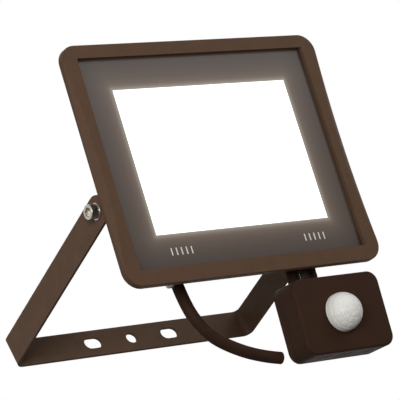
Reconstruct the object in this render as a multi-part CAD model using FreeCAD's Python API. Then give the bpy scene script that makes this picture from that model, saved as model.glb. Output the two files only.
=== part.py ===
import FreeCAD, Part

import math
import os

# Motion sensor security light: a slim LED floodlight in a wall bracket, with a
# passive infrared sensor hung under it and a short supply cord.
#
# Frame: millimetres, +Z up, the wall is the plane y = 0 and the light stands out
# from it towards -Y. The origin is the centre of the bracket's mounting face.
# The lamp head is drawn upright about its own pivot, with its glass facing -Y,
# and is then leaned forward and moved out to the end of the bracket's arms.

V = FreeCAD.Vector
X_AXIS = V(1, 0, 0)
Y_AXIS = V(0, 1, 0)
Z_AXIS = V(0, 0, 1)

# ---------------------------------------------------------------- driving sizes
# Lamp head, seen from the front. Heights are measured from the tilt pivot.
HEAD_WIDTH = 210.0
HEAD_ABOVE_PIVOT = 109.4
HEAD_BELOW_PIVOT = 58.6
HEAD_CORNER_RADIUS = 12.0
HEAD_LEAN_DEG = 17.5
FRONT_AHEAD_OF_PIVOT = 16.5

# Front frame
RIM_DEPTH = 4.9
LIP_THICKNESS = 2.9
BORDER_SIDE = 11.8
BORDER_TOP = 9.5
BORDER_BOTTOM = 10.7
SKIRT_INSET_SIDE = 7.0
SKIRT_INSET_TOP = 2.4
SKIRT_INSET_BOTTOM = 2.4
SKIRT_DEPTH = 4.6
SKIRT_CORNER_RADIUS = 9.0
SCOOP_INSET = 5.0
SCOOP_DEPTH = 3.4
SCOOP_END_MARGIN = 8.0
FRONT_EDGE_ROUND = 0.8

# Glass and its seal
GLASS_OVERLAP = 2.0
GLASS_THICKNESS = 3.5
GLASS_CLEARANCE = 0.3
SEAL_THICKNESS = 1.5
SEAL_WIDTH = 4.0

# Light source
WINDOW_FROM_HEAD_SIDE = 34.0
WINDOW_FROM_HEAD_BOTTOM = 33.8
WINDOW_FROM_HEAD_TOP = 32.2
REFLECTOR_WALL = 1.6
REFLECTOR_TAPER = 7.0
REFLECTOR_GLASS_GAP = 0.3
WINDOW_MARGIN = 2.0
LED_BOARD_ROUND_WINDOW = 4.0
LED_BOARD_THICKNESS = 1.6
THERMAL_PAD_THICKNESS = 0.5
THERMAL_PAD_INSET = 6.5
LED_COLUMNS = 14
LED_ROWS = 8
LED_LENGTH = 3.5
LED_WIDTH = 2.8
LED_HEIGHT = 0.8
LED_EDGE_MARGIN = 6.0
BOARD_SCREW_INSET = 3.2
REFLECTOR_LUG_RADIUS = 3.0

# Rear housing
FLANGE_THICKNESS = 3.0
FLANGE_BOTTOM_RISE = 0.8
BODY_INSET_SIDE = 2.5
BODY_INSET_TOP = 5.0
BODY_INSET_BOTTOM = 6.0
BODY_TAPER = 2.6
BODY_CORNER_RADIUS = 7.0
WALL = 2.5
FLOOR_THICKNESS = 3.0
FLOOR_BEHIND_PIVOT = 0.5
TONGUE_WALL = 2.5
FIN_THICKNESS = 2.0
FIN_PITCH = 8.0
FIN_HEIGHT = 6.0
FIN_END_MARGIN = 4.0
FIN_SIDE_MARGIN = 3.5
BOSS_RADIUS = 6.8
BOSS_LENGTH = 14.6
BOSS_ARM_GAP = 0.1

# Connection box on the back, with its cover
BOX_FROM_HEAD_SIDE = 31.0
BOX_ABOVE_PIVOT = 14.0
BOX_FROM_HEAD_BOTTOM = 12.1
BOX_DEPTH = 13.0
BOX_CORNER_RADIUS = 6.0
BOX_POST_RADIUS = 3.5
BOX_POST_INSET = 5.2
COVER_SEAL_THICKNESS = 0.8
COVER_THICKNESS = 2.2
WIRE_HOLE_RADIUS = 3.0
WIRE_HOLE_BELOW_BOARD = 1.0
WIRE_HOLE_FROM_DRIVER = 7.0
WIRE_SPACING = 3.0
WIRE_END_ON_BOARD = 2.0

# Small screws: thread radius, head radius, head height
SMALL_SCREW_RADIUS = 1.25
SMALL_HEAD_RADIUS = 2.5
SMALL_HEAD_HEIGHT = 1.8
SCREW_HOLE_CLEARANCE = 0.05
RECESS_RADIUS = 1.1
RECESS_DEPTH = 1.0
FRAME_SCREW_LENGTH = 9.0
FRAME_SCREW_SPACING = 70.0
FRAME_SCREW_FROM_SKIRT_TOP = 2.2
FRAME_SCREW_FROM_SKIRT_BOTTOM = 3.2
COVER_SCREW_LENGTH = 11.0
BOARD_SCREW_LENGTH = 4.0

# Bracket
ARM_HEAD_GAP = 1.0
STRIP_WIDTH = 21.0
STRIP_THICKNESS = 2.0
PIVOT_FROM_WALL = 153.7
BEND_INNER_RADIUS = 4.5
SLOT_SPACING = 65.3
SLOT_LENGTH = 14.0
SLOT_WIDTH = 9.0
CENTRE_HOLE_RADIUS = 4.2
PIVOT_HOLE_CLEARANCE = 0.05

# Pivot screws with their washers
PIVOT_SCREW_RADIUS = 3.0
PIVOT_SCREW_LENGTH = 16.0
PIVOT_HEAD_RADIUS = 5.0
PIVOT_HEAD_HEIGHT = 4.8
PIVOT_SOCKET_FLATS = 6.0
PIVOT_SOCKET_DEPTH = 3.0
FLAT_WASHER_RADIUS = 5.6
FLAT_WASHER_THICKNESS = 1.0
SPRING_WASHER_RADIUS = 4.9
SPRING_WASHER_THICKNESS = 1.2
SPRING_WASHER_SLIT = 1.0
WASHER_BORE_CLEARANCE = 0.2
WASHER_ARM_GAP = 0.05

# Supply cord and its entry
CORD_RADIUS = 4.15
CORD_FROM_HEAD_SIDE = 56.5
CORD_BEHIND_PIVOT = 11.0
CORD_END_TO_SENSOR = 8.6
CORD_DROP = 59.9
GLAND_FLANGE_RADIUS = 6.5
GLAND_FLANGE_THICKNESS = 3.0
GLAND_SHANK_RADIUS = 5.4
GLAND_SHANK_LENGTH = 8.0
GLAND_NUT_FLATS = 13.0
GLAND_NUT_THICKNESS = 2.8
GLAND_SEAL_THICKNESS = 1.0
GLAND_BORE_CLEARANCE = 0.1
CORD_TAIL_LENGTH = 13.0
CORE_RADIUS = 1.2
EARTH_SCREW_FROM_HEAD_SIDE = 47.4
EARTH_SCREW_BEHIND_PIVOT = 6.3
EARTH_BOSS_RADIUS = 3.1
EARTH_BOSS_LENGTH = 5.0
EARTH_SCREW_LENGTH = 8.0
EARTH_HEAD_RADIUS = 2.75
EARTH_HEAD_HEIGHT = 2.4
EARTH_WASHER_THICKNESS = 0.8

# Motion sensor
SENSOR_WIDTH = 73.9
SENSOR_HEIGHT = 52.5
SENSOR_DEPTH = 22.7
SENSOR_FROM_HEAD_SIDE = 43.5
SENSOR_FRONT_AHEAD = 12.5
SENSOR_LEAN_DEG = 3.35
SENSOR_CORNER_RADIUS = 8.0
SENSOR_FRONT_ROUND = 1.5
SENSOR_BACK_ROUND = 0.5
SENSOR_WALL = 2.2
SENSOR_COVER_DEPTH = 16.0
SENSOR_SEAL_THICKNESS = 0.4
SENSOR_SEAL_INSET = 0.15
LENS_RADIUS = 13.2
LENS_RISE = 14.8
LENS_LEFT_OF_CENTRE = 1.9
LENS_WALL = 1.0
LENS_FLANGE_WIDTH = 1.5
LENS_FLANGE_THICKNESS = 1.2
LENS_CLEARANCE = 0.1
LENS_SEAT_RIM_WIDTH = 1.1
LENS_SEAT_RIM_HEIGHT = 0.4
SENSOR_BOARD_THICKNESS = 1.6
SENSOR_BOARD_BEHIND_FRONT = 14.0
SENSOR_BOARD_MARGIN = 1.0
DETECTOR_RADIUS = 4.6
DETECTOR_HEIGHT = 4.5
DETECTOR_BASE_RADIUS = 5.2
DETECTOR_BASE_HEIGHT = 0.6
SENSOR_POST_RADIUS = 3.2
SENSOR_POST_INSET = 6.2
SENSOR_SCREW_LENGTH = 12.0
RELAY_WIDTH = 15.0
RELAY_DEPTH = 9.0
RELAY_HEIGHT = 18.5
RELAY_FROM_WALL = 3.5
CAPACITOR_RADIUS = 4.0
CAPACITOR_HEIGHT = 9.5
CAPACITOR_FROM_WALL = 7.0

# Sensor hinge: a forked clevis under the connection box and one eye on the sensor
HINGE_BEHIND_PIVOT = 6.5
HINGE_FROM_HEAD_SIDE = 48.7
PAD_DROP = 3.5
PAD_FRONT = 0.6
PAD_BACK = 10.6
CLEVIS_FOOT_THICKNESS = 4.6
CLEVIS_FOOT_DEPTH = 8.0
CLEVIS_FOOT_TO_LEAD = 0.3
CLEVIS_DEPTH = 7.0
CLEVIS_SCREW_LENGTH = 9.0
CLEVIS_SCREW_INSET = 3.0
EYE_WIDTH = 3.6
EYE_RADIUS = 3.4
EYE_TIP_CLEARANCE = 1.5
EAR_WIDTH = 2.6
EAR_GAP = 0.1
EAR_TO_SENSOR = 0.95
HINGE_SCREW_RADIUS = 1.25
HINGE_HEAD_RADIUS = 2.2
HINGE_HEAD_HEIGHT = 1.3
HINGE_NUT_FLATS = 4.2
HINGE_NUT_THICKNESS = 1.3
HINGE_CLEARANCE = 0.05
HINGE_END_RECESS = 0.1

# Sensor lead
LEAD_FROM_HEAD_SIDE = 62.9
LEAD_BEHIND_PIVOT = 5.4
LEAD_RADIUS = 4.5
UPPER_BUSH_HEIGHT = 1.5
LOWER_BUSH_HEIGHT = 1.0
BUSH_SHANK_RADIUS = 3.4
BUSH_BORE_CLEARANCE = 0.05

# Adjusters under the sensor
KNOB_SPACING = 18.0
KNOB_RADIUS = 3.7
KNOB_THICKNESS = 1.7
KNOB_GAP = 0.3
KNOB_SHAFT_RADIUS = 1.5
KNOB_SHAFT_LENGTH = 4.6
KNOB_SLOT_WIDTH = 0.9
KNOB_SLOT_DEPTH = 0.8
KNOB_WELL_DEPTH = 2.1
KNOB_WELL_BOSS = 5.2
KNOB_WELL_BOSS_HEIGHT = 2.0
POT_WIDTH = 11.0
POT_HEIGHT = 4.0

# Parts in the connection box
TERMINAL_LENGTH = 30.0
TERMINAL_HEIGHT = 14.0
TERMINAL_DEPTH = 9.0
TERMINAL_FROM_WIRE_HOLE = 6.0
TERMINAL_Z = -16.0
TERMINAL_WAYS = 3
TERMINAL_SCREW_RADIUS = 1.8
TERMINAL_PORT_DEPTH = 3.5
DRIVER_WIDTH = 66.0
DRIVER_HEIGHT = 40.0
DRIVER_THICKNESS = 1.6
DRIVER_FROM_BOX_SIDE = 11.0
DRIVER_FROM_BOX_BOTTOM = 8.5
STANDOFF_HEIGHT = 1.6
STANDOFF_RADIUS = 2.2
STANDOFF_INSET = 4.0
COIL_WIDTH = 16.0
COIL_DEPTH = 8.0
COIL_HEIGHT = 14.0
DRIVER_CAP_RADIUS = 3.8
DRIVER_CAP_LENGTH = 13.0
WIRE_RADIUS = 0.8

# ------------------------------------------------------- planes worked out once
# Depths in the head are y values with the pivot at 0 and the glass towards -Y.
FRONT_Y = -FRONT_AHEAD_OF_PIVOT
RIM_BACK_Y = FRONT_Y + RIM_DEPTH
GLASS_FRONT_Y = FRONT_Y + LIP_THICKNESS
GLASS_BACK_Y = GLASS_FRONT_Y + GLASS_THICKNESS
SEAL_BACK_Y = GLASS_BACK_Y + SEAL_THICKNESS
SKIRT_BACK_Y = RIM_BACK_Y + SKIRT_DEPTH
FLANGE_BACK_Y = SKIRT_BACK_Y + FLANGE_THICKNESS
FLOOR_Y = FLOOR_BEHIND_PIVOT
FLOOR_BACK_Y = FLOOR_Y + FLOOR_THICKNESS
BOX_RIM_Y = FLOOR_BACK_Y + BOX_DEPTH
COVER_Y = BOX_RIM_Y + COVER_SEAL_THICKNESS
COVER_BACK_Y = COVER_Y + COVER_THICKNESS

# Rectangles in the head are (left, right, bottom, top) in x and z.
HEAD = (-HEAD_WIDTH / 2, HEAD_WIDTH / 2, -HEAD_BELOW_PIVOT, HEAD_ABOVE_PIVOT)
ARM_INNER_X = HEAD_WIDTH / 2 - SKIRT_INSET_SIDE + ARM_HEAD_GAP
ARM_OUTER_X = ARM_INNER_X + STRIP_THICKNESS


def inset(rect, side, bottom, top):
    """A rectangle moved in by its sides, its bottom and its top."""
    left, right, low, high = rect
    return (left + side, right - side, low + bottom, high - top)


def centred(x, z, width, height):
    """The rectangle of a width and height about a centre."""
    return (x - width / 2, x + width / 2, z - height / 2, z + height / 2)


OPENING = inset(HEAD, BORDER_SIDE, BORDER_BOTTOM, BORDER_TOP)
POCKET = inset(OPENING, -GLASS_OVERLAP, -GLASS_OVERLAP, -GLASS_OVERLAP)
GLASS = inset(POCKET, GLASS_CLEARANCE, GLASS_CLEARANCE, GLASS_CLEARANCE)
SKIRT = inset(HEAD, SKIRT_INSET_SIDE, SKIRT_INSET_BOTTOM, SKIRT_INSET_TOP)
FLANGE = inset(SKIRT, 0.0, FLANGE_BOTTOM_RISE, 0.0)
BODY_FRONT = inset(SKIRT, BODY_INSET_SIDE, BODY_INSET_BOTTOM, BODY_INSET_TOP)
BODY_BACK = inset(BODY_FRONT, BODY_TAPER, BODY_TAPER / 2, BODY_TAPER)
CAVITY_FRONT = inset(GLASS, TONGUE_WALL, TONGUE_WALL, TONGUE_WALL)
CAVITY_BACK = inset(BODY_BACK, WALL, WALL, WALL)
WINDOW = inset(HEAD, WINDOW_FROM_HEAD_SIDE, WINDOW_FROM_HEAD_BOTTOM, WINDOW_FROM_HEAD_TOP)
WINDOW_Z = (WINDOW[2] + WINDOW[3]) / 2
LED_BOARD = inset(WINDOW, -LED_BOARD_ROUND_WINDOW, -LED_BOARD_ROUND_WINDOW, -LED_BOARD_ROUND_WINDOW)
BOX_BOTTOM_Z = HEAD[2] + BOX_FROM_HEAD_BOTTOM
BOX = (HEAD[0] + BOX_FROM_HEAD_SIDE, HEAD[1] - BOX_FROM_HEAD_SIDE, BOX_BOTTOM_Z, BOX_ABOVE_PIVOT)

# The driver board, the hole for its wires and the terminals follow one another
# from the box's right side to its left.
DRIVER_X = BOX[1] - DRIVER_FROM_BOX_SIDE - DRIVER_WIDTH / 2
DRIVER_Z = BOX[2] + DRIVER_FROM_BOX_BOTTOM + DRIVER_HEIGHT / 2
DRIVER = centred(DRIVER_X, DRIVER_Z, DRIVER_WIDTH, DRIVER_HEIGHT)
WIRE_HOLE_X = DRIVER[0] - WIRE_HOLE_FROM_DRIVER
WIRE_HOLE_Z = LED_BOARD[2] - WIRE_HOLE_RADIUS - WIRE_HOLE_BELOW_BOARD
TERMINAL_X = WIRE_HOLE_X - TERMINAL_FROM_WIRE_HOLE - TERMINAL_LENGTH / 2
CORD_X = HEAD[0] + CORD_FROM_HEAD_SIDE
EARTH_SCREW_X = HEAD[0] + EARTH_SCREW_FROM_HEAD_SIDE

# The sensor's hinge hangs under a pad on the box, and the sensor under its hinge.
# The sensor is drawn upright, and is then leaned about the hinge.
PAD_Z = BOX_BOTTOM_Z - PAD_DROP
FOOT_Z = PAD_Z - CLEVIS_FOOT_THICKNESS
HINGE_X = HEAD[1] - HINGE_FROM_HEAD_SIDE
HINGE_Y = HINGE_BEHIND_PIVOT
HINGE_Z = FOOT_Z - EYE_TIP_CLEARANCE - EYE_RADIUS
CLEVIS_HALF_WIDTH = EYE_WIDTH / 2 + EAR_GAP + EAR_WIDTH
LEAD_X = HEAD[1] - LEAD_FROM_HEAD_SIDE
SENSOR_TOP_Z = HINGE_Z - EYE_RADIUS - EAR_TO_SENSOR
SENSOR_X = HEAD[1] - SENSOR_FROM_HEAD_SIDE
SENSOR = (
    SENSOR_X - SENSOR_WIDTH / 2,
    SENSOR_X + SENSOR_WIDTH / 2,
    SENSOR_TOP_Z - SENSOR_HEIGHT,
    SENSOR_TOP_Z,
)
SENSOR_FRONT_Y = -SENSOR_FRONT_AHEAD
SENSOR_SPLIT_Y = SENSOR_FRONT_Y + SENSOR_COVER_DEPTH
SENSOR_CASE_Y = SENSOR_SPLIT_Y + SENSOR_SEAL_THICKNESS
SENSOR_BACK_Y = SENSOR_FRONT_Y + SENSOR_DEPTH
SENSOR_BOARD_Y = SENSOR_FRONT_Y + SENSOR_BOARD_BEHIND_FRONT
KNOB_Y = SENSOR_BOARD_Y - POT_WIDTH / 2

# The cord's free route in the head: (x, y, z) of each point of its straight runs,
# from the entry down and round to its bare end, which lies left of the sensor.
CORD_START_Z = BOX_BOTTOM_Z - GLAND_SEAL_THICKNESS - GLAND_FLANGE_THICKNESS
CORD_REACH = SENSOR[0] - CORD_END_TO_SENSOR - CORD_X
CORD_ROUTE = [
    (CORD_X, CORD_BEHIND_PIVOT, CORD_START_Z),
    (CORD_X + CORD_REACH * 0.028, CORD_BEHIND_PIVOT, CORD_START_Z - CORD_DROP * 0.278),
    (CORD_X + CORD_REACH * 0.135, CORD_BEHIND_PIVOT, CORD_START_Z - CORD_DROP * 0.537),
    (CORD_X + CORD_REACH * 0.318, CORD_BEHIND_PIVOT, CORD_START_Z - CORD_DROP * 0.739),
    (CORD_X + CORD_REACH * 0.721, CORD_BEHIND_PIVOT, CORD_START_Z - CORD_DROP * 0.944),
    (CORD_X + CORD_REACH, CORD_BEHIND_PIVOT, CORD_START_Z - CORD_DROP),
]


# --------------------------------------------------------------- basic shapes
def block(x0, x1, y0, y1, z0, z1):
    return Part.makeBox(x1 - x0, y1 - y0, z1 - z0, V(x0, y0, z0))


def rod(radius, start, axis, length):
    return Part.makeCylinder(radius, length, V(*start), axis)


def outline(rect, y, radius):
    """A rounded rectangle as a wire in the plane of one y."""
    left, right, low, high = rect
    r = radius
    if r <= 0:
        corners = [V(left, y, low), V(right, y, low), V(right, y, high), V(left, y, high)]
        return Part.makePolygon(corners + corners[:1])
    k = r * (1 - math.sqrt(0.5))
    edges = [
        Part.makeLine(V(left + r, y, low), V(right - r, y, low)),
        Part.Arc(V(right - r, y, low), V(right - k, y, low + k), V(right, y, low + r)).toShape(),
        Part.makeLine(V(right, y, low + r), V(right, y, high - r)),
        Part.Arc(V(right, y, high - r), V(right - k, y, high - k), V(right - r, y, high)).toShape(),
        Part.makeLine(V(right - r, y, high), V(left + r, y, high)),
        Part.Arc(V(left + r, y, high), V(left + k, y, high - k), V(left, y, high - r)).toShape(),
        Part.makeLine(V(left, y, high - r), V(left, y, low + r)),
        Part.Arc(V(left, y, low + r), V(left + k, y, low + k), V(left + r, y, low)).toShape(),
    ]
    return Part.Wire(edges)


def plate(rect, y0, y1, radius=0.0):
    """A rounded rectangle drawn out from y0 to y1."""
    return Part.Face(outline(rect, y0, radius)).extrude(V(0, y1 - y0, 0))


def taper(front, front_y, front_radius, back, back_y, back_radius):
    """A solid between two rounded rectangles of different size."""
    wires = [outline(front, front_y, front_radius), outline(back, back_y, back_radius)]
    return Part.makeLoft(wires, True, True)


def hexagon(flats, start, axis, length):
    """A hexagonal prism, its size given across its flats."""
    corner = flats / math.sqrt(3)
    points = [
        V(corner * math.cos(math.radians(60 * i)), corner * math.sin(math.radians(60 * i)), 0)
        for i in range(7)
    ]
    prism = Part.Face(Part.makePolygon(points)).extrude(V(0, 0, length))
    prism.Placement = FreeCAD.Placement(V(*start), FreeCAD.Rotation(Z_AXIS, axis))
    return prism


def fused(shapes):
    """One solid from several that meet."""
    return shapes[0].multiFuse(shapes[1:]).removeSplitter()


def cut(shape, tools):
    return shape.cut(tools)


def group(shapes):
    """Separate solids that share one node."""
    return Part.makeCompound([s for shape in shapes for s in shape.Solids])


def edges_on_plane(shape, axis, value):
    """The edges that lie wholly in one plane across X, Y or Z."""
    found = []
    for edge in shape.Edges:
        box = edge.BoundBox
        spans = {"x": (box.XMin, box.XMax), "y": (box.YMin, box.YMax), "z": (box.ZMin, box.ZMax)}
        low, high = spans[axis]
        if abs(low - value) < 1e-4 and abs(high - value) < 1e-4:
            found.append(edge)
    return found


def pan_screw(head_point, axis, length, radius, head_radius, head_height):
    """A screw with a domed head: head_point is under its head, axis the way its thread goes."""
    head_point = V(*head_point)
    back = V(axis) * -1
    shank = Part.makeCylinder(radius, length, head_point, axis)
    head = Part.makeCylinder(head_radius, head_height, head_point, back)
    top = [
        e for e in head.Edges if abs((e.CenterOfMass - head_point).dot(back) - head_height) < 1e-4
    ]
    head = head.makeFillet(min(head_height * 0.6, head_radius * 0.6), top)
    cross = Part.makeCylinder(
        RECESS_RADIUS, RECESS_DEPTH, head_point + back * (head_height - RECESS_DEPTH), back
    )
    return head.fuse(shank).removeSplitter().cut(cross)


def small_screw(head_point, axis, length):
    return pan_screw(
        head_point, axis, length, SMALL_SCREW_RADIUS, SMALL_HEAD_RADIUS, SMALL_HEAD_HEIGHT
    )


def screw_hole(head_point, axis, length, radius):
    """The hole for a screw, a little deeper than its thread."""
    start = V(*head_point) - V(axis) * 0.5
    return Part.makeCylinder(radius + SCREW_HOLE_CLEARANCE, length + 1.0, start, axis)


def arc_radii(points):
    """Each arc's radius is 0.45 of its shorter run over the tangent of half the turn."""
    radii = []
    for a, b, c in zip(points, points[1:], points[2:]):
        turn = (b - a).getAngle(c - b)
        radii.append(0.45 * min((b - a).Length, (c - b).Length) / math.tan(turn / 2))
    return radii


def run_path(points, radii):
    """Straight runs joined by tangent arcs, as one wire."""
    edges = []
    start = points[0]
    for i, radius in enumerate(radii):
        a, b, c = points[i], points[i + 1], points[i + 2]
        back = (a - b).normalize()
        ahead = (c - b).normalize()
        half = (b - a).getAngle(c - b) / 2
        trim = radius * math.tan(half)
        enter = b + back * trim
        leave = b + ahead * trim
        middle = b + (back + ahead).normalize() * (radius / math.cos(half) - radius)
        edges.append(Part.LineSegment(start, enter).toShape())
        edges.append(Part.Arc(enter, middle, leave).toShape())
        start = leave
    edges.append(Part.LineSegment(start, points[-1]).toShape())
    return Part.Wire(edges)


def tube(points, radius, radii=None):
    """A round bar along straight runs joined by tangent arcs."""
    points = [V(*p) for p in points]
    path = run_path(points, arc_radii(points) if radii is None else radii)
    along = (points[1] - points[0]).normalize()
    ring = Part.Wire(Part.makeCircle(radius, points[0], along))
    return path.makePipeShell([ring], True, False), path


# ------------------------------------------------------------------ front frame
def scoop(side):
    """The long hollow facet along one outer edge of the frame: side is -1 or 1."""
    slope = V(side * SCOOP_INSET, SCOOP_DEPTH, 0).normalize()
    outward = V(side * SCOOP_DEPTH, -SCOOP_INSET, 0).normalize()
    bite = SCOOP_INSET * SCOOP_DEPTH / math.hypot(SCOOP_INSET, SCOOP_DEPTH)
    half_length = (HEAD_ABOVE_PIVOT + HEAD_BELOW_PIVOT) / 2 - SCOOP_END_MARGIN
    radius = (half_length**2 + bite**2) / (2 * bite)
    edge = V(side * HEAD_WIDTH / 2, FRONT_Y, (HEAD_ABOVE_PIVOT - HEAD_BELOW_PIVOT) / 2)
    centre = edge + outward * (radius - bite)
    reach = SCOOP_INSET + SCOOP_DEPTH
    return Part.makeCylinder(radius, 2 * reach, centre - slope * reach, slope)


def frame_screw_points():
    """Under each frame screw's head, on the back of the flange: (x, y, z)."""
    top = SKIRT[3] - FRAME_SCREW_FROM_SKIRT_TOP
    bottom = SKIRT[2] + FRAME_SCREW_FROM_SKIRT_BOTTOM
    return [
        (x, FLANGE_BACK_Y, z)
        for z in (top, bottom)
        for x in (-FRAME_SCREW_SPACING, 0.0, FRAME_SCREW_SPACING)
    ]


def front_frame():
    rim = plate(HEAD, FRONT_Y, RIM_BACK_Y, HEAD_CORNER_RADIUS)
    rim = rim.makeFillet(FRONT_EDGE_ROUND, edges_on_plane(rim, "y", FRONT_Y))
    rim = cut(rim, [scoop(-1), scoop(1)])
    skirt = plate(SKIRT, RIM_BACK_Y, SKIRT_BACK_Y, SKIRT_CORNER_RADIUS)
    tools = [
        plate(OPENING, FRONT_Y - 1, GLASS_FRONT_Y + 1),
        plate(POCKET, GLASS_FRONT_Y, SKIRT_BACK_Y + 1),
    ]
    for point in frame_screw_points():
        tools.append(screw_hole(point, V(0, -1, 0), FRAME_SCREW_LENGTH, SMALL_SCREW_RADIUS))
    return cut(fused([rim, skirt]), tools)


def frame_screws():
    return group(
        [small_screw(p, V(0, -1, 0), FRAME_SCREW_LENGTH) for p in frame_screw_points()]
    )


def front_glass():
    return plate(GLASS, GLASS_FRONT_Y, GLASS_BACK_Y)


def glass_seal():
    inner = inset(GLASS, SEAL_WIDTH, SEAL_WIDTH, SEAL_WIDTH)
    ring = plate(GLASS, GLASS_BACK_Y, SEAL_BACK_Y)
    return cut(ring, [plate(inner, GLASS_BACK_Y - 1, SEAL_BACK_Y + 1)])


# ----------------------------------------------------------------- light source
LED_BOARD_Y = FLOOR_Y - THERMAL_PAD_THICKNESS
LED_FACE_Y = LED_BOARD_Y - LED_BOARD_THICKNESS


def board_screw_points():
    edge = BOARD_SCREW_INSET
    left, right, low, high = inset(LED_BOARD, edge, edge, edge)
    lug_face = LED_FACE_Y - REFLECTOR_WALL
    return [(x, lug_face, z) for x in (left, right) for z in (low, high)]


def board_holes():
    return [
        screw_hole(p, Y_AXIS, BOARD_SCREW_LENGTH, SMALL_SCREW_RADIUS) for p in board_screw_points()
    ]


def led_board():
    return cut(plate(LED_BOARD, LED_FACE_Y, LED_BOARD_Y, 2.0), board_holes())


def thermal_pad():
    pad = inset(LED_BOARD, THERMAL_PAD_INSET, THERMAL_PAD_INSET, THERMAL_PAD_INSET)
    return plate(pad, LED_BOARD_Y, FLOOR_Y)


def led_chips():
    """Rows of separate chips over the board, inside the reflector's foot."""
    edge = REFLECTOR_TAPER - WINDOW_MARGIN + LED_EDGE_MARGIN
    left, right, low, high = inset(WINDOW, edge, edge, edge)
    chips = []
    for column in range(LED_COLUMNS):
        for row in range(LED_ROWS):
            x = left + (right - left) * column / (LED_COLUMNS - 1)
            z = low + (high - low) * row / (LED_ROWS - 1)
            chips.append(
                block(
                    x - LED_LENGTH / 2,
                    x + LED_LENGTH / 2,
                    LED_FACE_Y - LED_HEIGHT,
                    LED_FACE_Y,
                    z - LED_WIDTH / 2,
                    z + LED_WIDTH / 2,
                )
            )
    return group(chips)


def board_screws():
    return group([small_screw(p, Y_AXIS, BOARD_SCREW_LENGTH) for p in board_screw_points()])


def reflector():
    """A white frame whose walls slope from the window down to the board."""
    mouth = inset(WINDOW, -WINDOW_MARGIN, -WINDOW_MARGIN, -WINDOW_MARGIN)
    foot = inset(mouth, REFLECTOR_TAPER, REFLECTOR_TAPER, REFLECTOR_TAPER)
    out = -REFLECTOR_WALL
    mouth_y = GLASS_BACK_Y + REFLECTOR_GLASS_GAP
    outer_mouth = inset(mouth, out, out, out)
    outer_foot = inset(foot, out, out, out)
    shell = taper(outer_mouth, mouth_y, 3.0, outer_foot, LED_FACE_Y, 3.0)
    lug_y = LED_FACE_Y - REFLECTOR_WALL
    lugs = []
    inward = REFLECTOR_TAPER + REFLECTOR_LUG_RADIUS
    across_lug = REFLECTOR_LUG_RADIUS * 0.7
    for x, _, z in board_screw_points():
        lugs.append(rod(REFLECTOR_LUG_RADIUS, (x, lug_y, z), Y_AXIS, REFLECTOR_WALL))
        side = math.copysign(1.0, x)
        toward = math.copysign(1.0, WINDOW_Z - z)
        corner = [
            V(x + side * across_lug, lug_y, z + toward * across_lug),
            V(x - side * across_lug, lug_y, z - toward * across_lug),
            V(x - side * (inward + 1.0), lug_y, z + toward * inward),
            V(x - side * inward, lug_y, z + toward * (inward + 1.0)),
        ]
        lugs.append(
            Part.Face(Part.makePolygon(corner + corner[:1])).extrude(V(0, REFLECTOR_WALL, 0))
        )
    solid = fused([shell] + lugs)
    hollow = taper(mouth, mouth_y, 2.0, foot, LED_FACE_Y, 2.0)
    return cut(solid, [hollow] + board_holes())


# ----------------------------------------------------------------- rear housing
def box_post_points():
    left, right, low, high = inset(BOX, BOX_POST_INSET, BOX_POST_INSET, BOX_POST_INSET)
    return [(x, z) for x in (left, right) for z in (low, high)]


def fin_xs():
    """Fin centres, evenly spaced about the middle."""
    half = BODY_BACK[1] - FIN_SIDE_MARGIN
    count = int(half // FIN_PITCH)
    return [i * FIN_PITCH for i in range(-count, count + 1)]


def standoff_points():
    left, right, low, high = inset(DRIVER, STANDOFF_INSET, STANDOFF_INSET, STANDOFF_INSET)
    return [(x, z) for x in (left, right) for z in (low, high)]


def clevis_foot():
    """The clevis's foot in x and y: (left, right, front, back)."""
    return (
        LEAD_X + LEAD_RADIUS + CLEVIS_FOOT_TO_LEAD,
        HINGE_X + CLEVIS_HALF_WIDTH,
        HINGE_Y - CLEVIS_FOOT_DEPTH / 2,
        HINGE_Y + CLEVIS_FOOT_DEPTH / 2,
    )


def clevis_screw_points():
    """Under the heads of the clevis's screws, on the floor of the connection box."""
    left, right, _, _ = clevis_foot()
    z = BOX_BOTTOM_Z + WALL
    return [(x, HINGE_Y, z) for x in (left + CLEVIS_SCREW_INSET, right - CLEVIS_SCREW_INSET)]


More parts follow.
